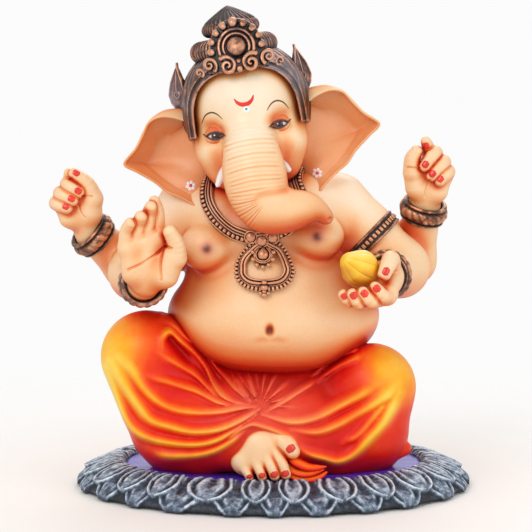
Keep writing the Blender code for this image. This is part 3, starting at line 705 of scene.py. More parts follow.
def dhoti_mass(points):
    d = ellipsoid(points, (-0.2, 3.0, 11.5), (13.2, 9.3, 8.6))
    d = smooth_min(d, ellipsoid(points, (-2.0, -3.2, 9.2), (13.0, 9.0, 6.2)), 2.5)
    for path, radii in (
        (((-8.0, 2.0, 13.0), (-16.2, -3.2, 17.4)), (6.6, 5.6)),
        (((-16.2, -3.4, 17.2), (-12.6, -4.2, 9.0)), (5.4, 6.0)),
        (((-12.0, -5.0, 8.6), (-4.0, -7.6, 7.4)), (5.6, 4.4)),
        (((7.5, 2.0, 12.0), (12.6, -3.4, 13.4)), (6.4, 5.3)),
        (((12.6, -3.6, 13.2), (11.8, -4.0, 8.2)), (5.3, 5.6)),
        (((11.8, -4.4, 7.6), (2.0, -7.6, 6.6)), (4.6, 4.2)),
    ):
        d = smooth_min(d, tube(points, path, radii), 2.0)
    return d


def figure_field(points):
    d = np.minimum(body_field(points), head_field(points))
    return np.minimum(d, dhoti_mass(points))


# ---------------------------------------------------------------- skin


def skin_masks(points, normals, warmth=0.0, reaches=(0.6, 1.6, 3.2, 6.0)):
    # Painted shade: more orange in creases, from the occlusion measure, and on surfaces facing down; partly the
    # airbrush, partly painted shade.
    closed = occlusion(figure_field, points, normals, reaches)
    under = smoothstep(0.15, -0.9, normals[:, 2])
    shade = np.clip(0.72 * closed - 0.04 + warmth + 0.3 * under, 0.0, 1.0)
    nothing = np.zeros(len(points))
    return {"shade": shade, "blush": nothing.copy(), "spot": nothing.copy()}


def near(points, centre, radii):
    """1 at a centre, falling to 0 about one radius out."""
    away = np.linalg.norm((points - vec(*centre)) / vec(*radii), axis=1)
    return np.exp(-(away**2.5))


def make_body(skin):
    step = 0.2
    points, quads, _ = sculpt(body_field, (-27, -14, 12), (23, 14, 44), step)

    def masks(own, normals):
        warmth = 0.25 - 0.2 * smoothstep(32.0, 37.0, own[:, 2]) * smoothstep(3.0, 9.0, np.abs(own[:, 0] + 1.5))
        warmth = np.minimum(warmth, 0.25 - 0.1 * smoothstep(13.0, 17.0, np.abs(own[:, 0] + 1.5)))
        made = skin_masks(own, normals, warmth)
        for x, z in NIPPLES:
            made["blush"] = np.maximum(made["blush"], 0.8 * near(own, (x, -8.4, z), (1.0, 2.0, 1.0)))
            made["spot"] = np.maximum(made["spot"], 0.95 * near(own, (x, -8.4, z), (0.5, 2.0, 0.5)))
        # Painted shade round the navel and in the fold below it, and a dark painted shadow inside the navel.
        made["shade"] = np.maximum(made["shade"], 0.8 * near(own, (-0.5, -10.6, 21.7), (0.7, 2.0, 0.9)))
        made["spot"] = np.maximum(made["spot"], 0.85 * near(own, (-0.5, -10.2, 21.6), (0.42, 2.0, 0.55)))
        crease = np.abs(own[:, 2] - navel_fold(own[:, 0]))
        width = smoothstep(2.6, 1.0, np.abs(own[:, 0] + 0.4)) * smoothstep(-6.0, -9.0, own[:, 1])
        made["shade"] = np.clip(made["shade"] + 0.12 * width * np.exp(-((crease / 0.45) ** 2)), 0, 1)
        return made

    fields = [torso_field] + [arm_field(name) for name in ARMS]

    def labels(middles):
        return np.argmin([evaluate(f, middles) for f in fields], axis=0)

    parts = [("torso_skin", ("torso",), False)] + [(f"{name}_skin", (name,), False) for name in ARMS]
    add_split(parts, labels, points, quads, body_field, step * COARSE, masks, skin)


def make_head(skin):
    step = 0.12
    points, quads, _ = sculpt(head_field, (-13, -17, 32), (9, 9, 56), step)

    def masks(own, normals):
        p = in_head(own)
        warmth = 0.04 + 0.16 * smoothstep(0.0, -6.0, p[:, 2]) + 0.08 * smoothstep(2.0, 8.0, p[:, 0])
        made = skin_masks(own, normals, warmth)
        # Painted shade under the trunk's curled end, in its fold and wrinkles, along the cap's edge and on the cheeks
        # beside the trunk.
        low = 0.34 * near(p, (2.6, -10.0, -13.6), (6.0, 6.0, 2.4)) + 0.2 * fold(p)
        hood = 0.55 * smoothstep(-1.1, 0.0, face_edge(p)) * smoothstep(0.0, -3.0, p[:, 1]) * smoothstep(-3.0, 0.0, p[:, 2])
        made["shade"] = np.clip(made["shade"] + 0.17 * wrinkles(p) + low + hood, 0, 1)
        for side in (-1, 1):
            made["shade"] = np.maximum(made["shade"], 0.56 * near(p, (side * 4.1, -6.0, -4.2), (1.7, 2.5, 2.6)))
        made["blush"] = 0.5 * near(p, (8.0, -8.3, -12.6), (1.0, 1.2, 1.4))
        for x, z in EYES:
            flat = p * vec(1, 0.4, 1)
            # Orange-brown round each eye: partly eye paint, partly painted shade in the socket.
            ring = near(flat, (x, EYE_Y * 0.4, z + 0.35), (1.75, 1.3, 1.25))
            made["shade"] = np.maximum(made["shade"], 0.74 * ring)
            rim = eye_opening(p, x, z)
            front = near(flat, (x, EYE_Y * 0.4, z), (1.6, 1.2, 1.2))
            made["spot"] = np.maximum(made["spot"], 0.95 * smoothstep(0.4, 0.08, rim) * front)
        return made

    def labels(middles):
        return np.argmin([evaluate(skull_field, middles), evaluate(trunk_field, middles)], axis=0)

    parts = (("head_skin", ("head",), False), ("trunk_skin", ("trunk",), True))
    add_split(parts, labels, points, quads, head_field, step * COARSE, masks, skin)
    return points, quads


# ---------------------------------------------------------------- ears

# Each row runs from the head out to the rim: root, face, crease, band, ridge and edge, as
# places across and up in the head's frame.
EAR = (
    ((7.0, 1.2), (7.2, 1.1), (7.3, 1.0), (7.5, 1.5), (7.8, 2.7), (7.9, 1.4)),
    ((7.2, 0.4), (8.2, 0.4), (9.0, 0.3), (9.1, 1.3), (9.1, 2.95), (9.3, 2.05)),
    ((7.2, -0.6), (8.9, -0.3), (10.4, -0.2), (10.8, 1.0), (10.5, 2.8), (10.9, 2.35)),
    ((7.1, -1.6), (9.5, -1.4), (11.5, -1.1), (12.0, 0.4), (12.1, 1.95), (12.4, 1.85)),
    ((6.9, -2.5), (9.8, -2.3), (12.2, -2.0), (12.9, -0.7), (13.3, 0.5), (13.4, 0.4)),
    ((6.7, -3.4), (10.0, -3.2), (12.8, -2.9), (13.8, -1.9), (14.4, -1.1), (14.6, -1.2)),
    ((6.5, -4.2), (10.0, -4.0), (13.1, -3.6), (14.6, -2.9), (15.7, -2.5), (16.3, -2.8)),
    ((6.3, -4.9), (9.9, -4.8), (12.9, -4.2), (13.9, -3.9), (14.5, -3.9), (14.9, -4.0)),
    ((6.1, -5.5), (9.3, -5.6), (11.6, -5.6), (12.2, -5.6), (12.6, -5.6), (12.9, -5.6)),
    ((6.0, -6.0), (8.6, -6.4), (10.3, -6.7), (10.9, -6.8), (11.3, -6.9), (11.6, -7.0)),
    ((5.9, -6.4), (7.9, -7.1), (9.2, -7.5), (9.6, -7.7), (9.9, -7.8), (10.1, -7.9)),
    ((5.9, -6.8), (7.2, -7.8), (8.1, -8.4), (8.4, -8.6), (8.6, -8.8), (8.7, -8.9)),
    ((5.8, -7.0), (6.6, -8.1), (7.2, -8.9), (7.4, -9.3), (7.5, -9.6), (7.6, -9.8)),
)
EAR_DEPTHS = (0.6, 1.5, 2.1, 1.1, 0.0, -1.1)
EAR_STEPS = 6


def ear_sheet(side):
    """The ear's middle surface as a grid of places."""
    rows = []
    for number, row in enumerate(EAR):
        curl = 1.0 if number < 7 else max(0.0, 1.0 - (number - 6) / 2.5)
        stations = []
        for (x, z), depth in zip(row, EAR_DEPTHS):
            y = depth * curl + (1 - curl) * (0.6 + 0.25 * depth)
            stations.append((x, y - 0.45 * max(0.0, -z - 3.0) * min(1.0, (x - 5.6) / 2.0), z))
        rows.append(curve(stations, EAR_STEPS))
    flap = rows[-1] + np.linspace((-0.6, 1.6, 0.1), (-0.1, 0.9, 0.2), len(rows[-1]))
    rows.append(flap)
    grid = np.array(rows)
    grid = np.stack([curve(grid[:, k], EAR_STEPS) for k in range(grid.shape[1])], 1)
    place = grid.reshape(-1, 3) * vec(side, 1, 1)
    return (place @ HEAD_TURN.T + HEAD_AT).reshape(grid.shape)


def grid_normals(grid):
    down = np.gradient(grid, axis=0)
    across = np.gradient(grid, axis=1)
    return unit(np.cross(down, across))


def thick_sheet(grid, normals, half):
    """Closed sheet round a grid: a front and a back layer joined by a rounded rim."""
    rows, columns = grid.shape[:2]
    front = grid + normals * half[..., None]
    back = grid - normals * half[..., None]
    points = np.vstack((front.reshape(-1, 3), back.reshape(-1, 3)))
    number = np.arange(rows * columns).reshape(rows, columns)
    a, b, c, d = number[:-1, :-1], number[:-1, 1:], number[1:, 1:], number[1:, :-1]
    faces = np.stack([a, d, c, b], -1).reshape(-1, 4)
    turned_over = (grid_normals(grid) * normals).sum() < 0
    faces = np.vstack((faces, faces[:, ::-1] + rows * columns))
    border = np.concatenate((number[0, :-1], number[:-1, -1], number[-1, :0:-1], number[:0:-1, 0]))
    inward = np.zeros((rows, columns, 3))
    inward[0] += grid[0] - grid[1]
    inward[-1] += grid[-1] - grid[-2]
    inward[:, 0] += grid[:, 0] - grid[:, 1]
    inward[:, -1] += grid[:, -1] - grid[:, -2]
    outward = unit(inward).reshape(-1, 3)[border]
    middle = grid.reshape(-1, 3)[border] + outward * half.reshape(-1)[border][:, None] * 0.9
    start = len(points)
    points = np.vstack((points, middle))
    ring = np.arange(len(border)) + start
    after = np.roll(ring, -1)
    near_edge, next_edge = border, np.roll(border, -1)
    faces = np.vstack(
        (
            faces,
            np.stack([near_edge, next_edge, after, ring], -1),
            np.stack([ring, after, next_edge + rows * columns, near_edge + rows * columns], -1),
        )
    )
    return points, faces[:, ::-1] if turned_over else faces


def make_ear(side, skin):
    grid = ear_sheet(side)
    rows, columns = grid.shape[:2]
    normals = grid_normals(grid) * -side
    down, across = np.meshgrid(
        np.linspace(0, len(EAR), rows), np.linspace(0, len(EAR_DEPTHS) - 1, columns), indexing="ij"
    )
    half = 0.3 - 0.14 * smoothstep(1.5, 5.0, across)
    points, faces = thick_sheet(grid, normals, half)
    # Painted shade on the ear: under the curled rim, in its crease, on the lower lobe and next to the head; the ear
    # hole is a dark painted shadow.
    curled = smoothstep(8.5, 6.0, down)
    band = smoothstep(1.7, 2.3, across) * smoothstep(5.0, 3.6, across) * curled
    crease = np.exp(-(((across - 2.15) / 0.45) ** 2)) * curled
    shade = 0.22 + 0.42 * band + 0.35 * crease * smoothstep(7.0, 1.0, down)
    shade = shade + 0.25 * smoothstep(10.5, 12.3, down) + 0.16 * smoothstep(1.2, 0.0, across)
    hole_shadow = np.exp(-(((down - 2.6) / 1.0) ** 2) - ((across - 0.15) / 0.4) ** 2)
    mauve = 0.75 * np.exp(-(((down - 3.5) / 2.6) ** 2) - ((across - 0.55) / 0.75) ** 2)
    count = rows * columns
    edge = len(points) - 2 * count

    def spread(values, back):
        flat = values.reshape(-1)
        return np.concatenate((flat, np.full(count, back), np.full(edge, 0.4)))

    masks = {
        "shade": spread(np.clip(shade + 0.4 * hole_shadow, 0, 1), 0.42),
        "blush": spread(mauve, 0.1) * (np.arange(len(points)) < 2 * count),
        "spot": spread(0.55 * hole_shadow, 0.0) * (np.arange(len(points)) < count),
    }
    name = "left_ear" if side > 0 else "right_ear"
    add_piece(f"{name}_skin", points, faces, skin, (name,), None, masks)
    return points, faces


# ---------------------------------------------------------------- dhoti

# Fold crests as (height, width, places across and up), seen from the front.
CRESTS = (
    (0.75, 0.50, ((-20.4, 16.8), (-18.6, 14.2), (-16.9, 11.9), (-15.4, 10.4), (-13.1, 9.7), (-9.9, 9.1), (-6.5, 9.6), (-3.6, 10.9), (-1.8, 11.9))),
    (0.70, 0.45, ((-20.9, 16.1), (-19.9, 13.0), (-18.8, 10.4), (-17.5, 8.8), (-15.4, 8.0), (-12.2, 7.5), (-9.4, 7.5), (-7.2, 8.1), (-5.1, 9.3), (-2.2, 11.3))),
    (0.65, 0.50, ((-15.6, 6.3), (-14.0, 5.9), (-12.2, 5.8), (-9.4, 6.1), (-7.1, 6.9), (-5.1, 8.2), (-3.3, 9.8))),
    (0.60, 0.45, ((-19.3, 17.6), (-17.5, 16.2), (-16.2, 14.2), (-14.5, 12.7), (-12.2, 11.7), (-9.3, 11.4), (-6.5, 11.6), (-4.3, 12.0), (-2.2, 12.2))),
    (0.50, 0.40, ((-15.9, 15.6), (-13.6, 15.1), (-11.3, 14.3), (-9.3, 13.6), (-7.2, 12.7), (-5.1, 12.2))),
    (0.50, 0.38, ((-14.2, 18.5), (-12.2, 17.2), (-9.9, 15.6), (-8.5, 14.3), (-6.8, 13.0))),
    (0.60, 0.40, ((-13.9, 19.2), (-13.7, 20.4), (-13.0, 21.0), (-11.9, 20.1), (-10.0, 18.4), (-8.6, 16.5), (-7.6, 14.5), (-6.2, 13.2), (-3.9, 12.3))),
    (0.55, 0.38, ((-14.1, 22.6), (-12.4, 21.7), (-10.7, 20.0), (-8.6, 18.5), (-7.2, 16.2), (-5.1, 14.3), (-2.9, 12.7))),
    (0.45, 0.35, ((-5.0, 15.2), (-4.0, 14.0), (-3.0, 13.0))),
    (0.45, 0.35, ((-3.2, 15.2), (-2.7, 14.0), (-2.2, 13.0))),
    (0.65, 0.50, ((-1.5, 11.3), (2.0, 10.4), (4.8, 10.6), (7.7, 11.6), (10.2, 12.9), (12.7, 14.5))),
    (0.45, 0.40, ((-0.9, 11.6), (1.3, 12.7), (3.1, 13.6), (5.6, 14.6))),
    (0.60, 0.48, ((2.3, 9.4), (5.4, 9.0), (8.0, 9.7), (10.5, 11.0), (13.4, 12.7), (15.5, 14.2))),
    (0.75, 0.48, ((3.1, 7.1), (4.4, 6.3), (6.3, 5.6), (8.0, 5.1), (10.0, 5.9), (12.0, 8.0), (13.7, 9.8), (14.8, 11.6), (15.7, 13.3))),
    (0.40, 0.32, ((4.4, 15.9), (7.7, 18.2), (10.5, 19.5))),
    (0.40, 0.32, ((4.9, 15.1), (7.9, 17.4), (10.8, 18.8))),
    (0.40, 0.32, ((5.6, 14.5), (8.3, 16.6), (11.0, 18.0))),
    (0.60, 0.45, ((-6.4, 7.6), (-5.1, 8.8), (-3.9, 9.7), (-2.7, 10.2), (-1.3, 9.9), (0.6, 9.2), (2.2, 8.4), (3.1, 7.3))),
    (0.45, 0.40, ((8.6, 7.4), (10.6, 8.4), (12.6, 10.6), (14.2, 12.4))),
)
HOLLOW = ((-12.9, 20.0), (-12.2, 19.0), (-11.1, 17.7), (-10.0, 16.2))
KNOT = vec(-1.7, 12.2)
MAP_LOW = vec(-24.0, 2.0)
MAP_HIGH = vec(20.0, 25.0)
MAP_STEP = 0.06


def crest_map():
    """Height of the fold crests over the front view, as a grid."""
    counts = ((MAP_HIGH - MAP_LOW) / MAP_STEP).astype(int)
    heights = np.zeros(counts)
    reach = 3.0
    for height, width, stations in CRESTS:
        path = curve(stations, 6)
        low = np.maximum(((path.min(0) - reach - MAP_LOW) / MAP_STEP).astype(int), 0)
        high = np.minimum(((path.max(0) + reach - MAP_LOW) / MAP_STEP).astype(int), counts)
        window = np.stack(np.meshgrid(np.arange(low[0], high[0]), np.arange(low[1], high[1]), indexing="ij"), -1)
        where = (window.reshape(-1, 2) * MAP_STEP + MAP_LOW).astype(np.float32)
        best, share = path_gap(where, path)
        taper = smoothstep(0.0, 0.22, share) * smoothstep(1.0, 0.85, share)
        spread = width * (0.65 + 1.2 * np.clip(np.linalg.norm(where - KNOT, axis=1) / 17.0, 0, 1))
        rise = 1.4 * height * np.exp(-((best / spread) ** 1.8)) * (0.35 + 0.65 * taper)
        rise *= smoothstep(reach, reach * 0.7, best)
        part = heights[low[0] : high[0], low[1] : high[1]]
        part[:] = smooth_max(part, rise.reshape(part.shape), 0.1)
    x, z = np.meshgrid(*[MAP_LOW[k] + np.arange(counts[k]) * MAP_STEP for k in range(2)], indexing="ij")
    reach_out = np.hypot(x - KNOT[0], z - KNOT[1])
    turn = np.arctan2(z - KNOT[1], x - KNOT[0])
    pleats = (0.5 + 0.5 * np.cos(turn * 19 + 1.4 * np.sin(turn * 3 + 0.6))) ** 1.5
    upward = smoothstep(-0.5, 0.1, np.sin(turn))
    gathered = 0.42 * pleats * np.exp(-(((reach_out - 2.4) / 1.9) ** 2)) * upward
    heights = smooth_max(heights, gathered, 0.1)
    best, share = path_gap(np.stack([x.reshape(-1), z.reshape(-1)], -1), curve(HOLLOW, 5))
    pit = np.exp(-((best / (0.62 - 0.3 * share)) ** 2)) * smoothstep(1.0, 0.6, share)
    return heights - 0.5 * pit.reshape(heights.shape)


def read_map(heights, points):
    where = (points[:, [0, 2]] - MAP_LOW) / MAP_STEP
    where = np.clip(where, 0, np.array(heights.shape) - 1.001)
    base = where.astype(int)
    t = where - base
    i, j = base.T
    low = heights[i, j] * (1 - t[:, 0]) + heights[i + 1, j] * t[:, 0]
    high = heights[i, j + 1] * (1 - t[:, 0]) + heights[i + 1, j + 1] * t[:, 0]
    return low * (1 - t[:, 1]) + high * t[:, 1]


def back_folds(points):
    """Soft folds that wrap the seat and hang down the sides and back of the cloth."""
    x, y, z = points.T
    angle = np.arctan2(y - 2.0, x)
    sweep = np.sin(z * 2.1 + 1.3 * np.sin(angle * 2.0) + 2.2 * np.sin(x * 0.22)) * 0.5 + 0.5
    hang = np.sin(angle * 17 + 0.35 * z + 1.2 * np.sin(z * 0.5)) * 0.5 + 0.5
    share = smoothstep(-1.5, 4.0, y)
    return share * (0.34 * sweep**2 + 0.2 * hang**3) * smoothstep(2.9, 4.5, z) * smoothstep(23.5, 18.0, z)


def make_dhoti(cloth):
    heights = crest_map()

    def rise(points):
        front = smoothstep(3.5, -1.5, points[:, 1])
        return read_map(heights, points) * front

    def field(points):
        d = dhoti_mass(points)
        for a, b in (((-13.0, -3.6, 5.3), (-9.0, -6.0, 5.2)), ((12.8, -3.2, 5.3), (8.0, -6.2, 5.2))):
            d = smooth_min(d, tube(points, (a, b), (3.3, 3.3)), 1.5)
        d = d + 0.28 - rise(points) - back_folds(points)
        roll = ((11.5, -7.4, 4.2), (14.0, -6.4, 4.6), (16.6, -4.4, 5.5))
        d = smooth_min(d, tube(points, roll, (0.5, 0.85, 1.0)), 0.35)
        knot = np.linalg.norm((points - vec(-1.7, -12.2, 12.2)) / vec(1.3, 1.2, 0.8), axis=1)
        d = d - 0.35 * np.exp(-knot * knot)
        return smooth_max(d, 2.85 - points[:, 2], 0.4)

    step = 0.18
    points, quads, normals = sculpt(field, (-25, -16, 2), (20, 15, 26), step)
    # Painted light on the cloth: yellow on the fold crests, the knees and their outer sides, partly the airbrush and
    # partly painted highlight; painted shade in the hollows; and darker towards the bottom.
    closed = occlusion(lambda p: np.minimum(field(p), body_field(p)), points, normals, (0.35, 0.9, 2.2, 4.0))
    crest = rise(points) * 1.1 + back_folds(points) * 1.3
    x, y, z = points.T
    knee = np.maximum(
        near(points, (-19.8, -4.0, 19.5), (5.0, 9.0, 7.0)), near(points, (15.6, -4.5, 16.2), (5.0, 9.0, 5.6))
    )
    outer = near(points, (-21.5, -2.0, 12.5), (3.5, 9.0, 4.8)) + near(points, (16.8, -4.6, 5.6), (1.9, 3.0, 1.4))
    deep = smoothstep(7.5, 3.2, z)
    tone = 0.21 + 0.54 * crest + 0.6 * knee + 0.3 * outer * (1 - deep) - 0.42 * closed - 0.12 * deep
    tone = tone + 0.08 * noise(points, 3.2)
    # The peach mask: pale peach over the crests round the middle, none in the hollows.
    middle = near(points, (-0.5, -11.0, 13.0), (7.5, 9.0, 5.2))
    masks = {
        "tone": np.clip(tone, 0, 1),
        "peach": np.clip(middle * (0.16 + 0.7 * crest) * (1 - closed), 0, 0.75),
    }
    add_piece("dhoti_cloth", points, quads, cloth, ("dhoti",), normals, masks)


def make_sash(cloth):
    """The loose end of the cloth, in two leaves beside the big toe."""
    bundle = Bundle()
    for stations in (
        ((1.9, -11.8, 6.0, 0.2), (2.8, -12.5, 5.5, 0.5), (4.2, -12.8, 4.9, 0.52), (5.4, -12.6, 4.8, 0.38), (6.5, -12.1, 4.8, 0.12)),
        ((1.8, -12.0, 5.0, 0.2), (2.7, -12.8, 4.3, 0.42), (4.0, -13.1, 4.1, 0.45), (5.2, -12.9, 4.3, 0.32), (6.2, -12.4, 4.5, 0.12)),
        ((1.8, -12.0, 4.3, 0.2), (2.8, -12.9, 3.6, 0.42), (4.3, -13.2, 3.45, 0.45), (5.6, -13.0, 3.7, 0.35), (6.6, -12.4, 4.2, 0.12)),
    ):
        line = curve(stations, 8)
        side, up = frames(line[:, :3], vec(0, -0.3, 1))
        bundle.add(*swept(line[:, :3], side, up, line[:, 3] * 1.7, line[:, 3] * 0.75))
    points = np.vstack(bundle.points)
    # Painted highlight along one side of each leaf, as if lit from there.
    around = np.arange(12) / 12 * math.tau
    lit = 0.1 + 0.5 * np.clip(np.cos(around - 1.2), 0, 1) ** 3
    tones = [lit[np.arange(len(part)) % 12] for part in bundle.points]
    masks = {"tone": np.concatenate(tones), "peach": np.zeros(len(points))}
    bundle.piece("sash_end_cloth", cloth, "dhoti_paint", ("sash_end",), masks)


# ---------------------------------------------------------------- shapes for ornaments


class Bundle:
    """Closed shapes gathered into one piece."""

    def __init__(self):
        self.points = []
        self.faces = []
        self.count = 0

    def add(self, points, faces):
        self.points.append(np.asarray(points, float))
        self.faces += [tuple(int(i) + self.count for i in face) for face in faces]
        self.count += len(points)

    def piece(self, name, material, slot, nodes=(), masks=None):
        return add_piece(name, np.vstack(self.points), self.faces, material, nodes, None, masks)


def orb(centre, radii, axes=None, around=16, square=2.0):
    """Closed ellipsoid. A square above 2 makes it boxy."""
    axes = np.eye(3) if axes is None else np.array(axes, float)
    rings = around // 2
    power = 2.0 / square

    def rounded(value):
        return np.sign(value) * np.abs(value) ** power

    places = [vec(0, 0, 1)]
    for i in range(1, rings):
        tilt = math.pi * i / rings
        turn = np.arange(around) * math.tau / around
        ring = np.stack([np.sin(tilt) * np.cos(turn), np.sin(tilt) * np.sin(turn), np.full(around, math.cos(tilt))], -1)
        places += list(rounded(ring))
    places.append(vec(0, 0, -1))
    points = np.array(places) * vec(*radii) @ axes + vec(*centre)
    faces = []
    for k in range(around):
        after = (k + 1) % around
        faces.append((0, 1 + k, 1 + after))
        for i in range(rings - 2):
            row = 1 + i * around
            faces.append((row + k, row + around + k, row + around + after, row + after))
        last = 1 + (rings - 2) * around
        faces.append((last + k, len(points) - 1, last + after))
    if np.linalg.det(axes) < 0:
        faces = [face[::-1] for face in faces]
    return points, faces


def frames(path, up, closed=False):
    """Side and up vectors along a path, up as near as it can be to the one given."""
    if closed:
        along = np.roll(path, -1, 0) - np.roll(path, 1, 0)
    else:
        along = np.gradient(path, axis=0)
    along = unit(along)
    up = np.broadcast_to(up, path.shape)
    up = unit(up - (up * along).sum(1)[:, None] * along)
    return np.cross(along, up), up


def swept(path, side, up, wide, high, closed=False, around=12, square=2.0):
    """Closed tube along a path. Wide and high are half sizes, for each station or each point."""
    turn = np.arange(around) * math.tau / around
    power = 2.0 / square
    c = np.sign(np.cos(turn)) * np.abs(np.cos(turn)) ** power
    s = np.sign(np.sin(turn)) * np.abs(np.sin(turn)) ** power
    wide = np.asarray(wide, float) * np.ones(len(path)) if np.ndim(wide) < 2 else wide.T
    high = np.asarray(high, float) * np.ones(len(path)) if np.ndim(high) < 2 else high.T
    wide = wide[:, None] if wide.ndim == 1 else wide.T
    high = high[:, None] if high.ndim == 1 else high.T
    grid = path[:, None] + side[:, None] * (wide * c)[..., None] + up[:, None] * (high * s)[..., None]
    count = len(path)
    number = np.arange(count * around).reshape(count, around)
    below = number if closed else number[:-1]
    above = np.roll(number, -1, 0) if closed else number[1:]
    faces = np.stack([below, above, np.roll(above, -1, 1), np.roll(below, -1, 1)], -1).reshape(-1, 4)
    faces = [tuple(face) for face in faces]
    points = grid.reshape(-1, 3)
    if not closed:
        ends = (path[0] * 1.4 - path[1] * 0.4, path[-1] * 1.4 - path[-2] * 0.4)
        small = min(1.0, 0.5 * float(np.min(wide)))
        ends = (path[0] + (path[0] - path[1]) * 0.3 * small, path[-1] + (path[-1] - path[-2]) * 0.3 * small)
        points = np.vstack((points, ends))
        first, last = len(points) - 2, len(points) - 1
        for k in range(around):
            after = (k + 1) % around
            faces.append((number[0, k], number[0, after], first))
            faces.append((number[-1, after], number[-1, k], last))
    return points, faces


def laid(tree, starts, direction, half):
    """A thin closed sheet laid on a surface, looking from the starts along a direction."""
    grid = starts.copy()
    normals = np.zeros_like(grid)
    for index in np.ndindex(*starts.shape[:2]):
        hit, normal, _, distance = tree.ray_cast(Vector(starts[index]), Vector(direction))
        if hit is None or distance > 20.0:
            hit, normal, _, _ = tree.find_nearest(Vector(starts[index]))
        grid[index], normals[index] = hit, normal
    return thick_sheet(grid, normals, half)


def tree_of(points, faces):
    return BVHTree.FromPolygons([Vector(p) for p in points], [tuple(map(int, f)) for f in faces])


def disc_starts(centre, across, along, wide, long, rows=9, columns=9, square=2.4):
    """Start places that fill a rounded oval, as a grid."""
    v = np.linspace(-1, 1, rows)
    width = np.maximum((1 - np.abs(v) ** square), 0.0) ** (1 / square)
    width = np.maximum(width, 0.06)
    a = np.linspace(-1, 1, columns)
    return (
        vec(*centre)
        + vec(*along) * (v * long)[:, None, None]
        + vec(*across) * (width[:, None] * a * wide)[..., None]
    )


def domed(rows, columns, height):
    v = np.linspace(-1, 1, rows)[:, None]
    a = np.linspace(-1, 1, columns)[None]
    return height * (0.35 + 0.65 * (1 - v**4) * (1 - a**4))


# ---------------------------------------------------------------- hands and foot

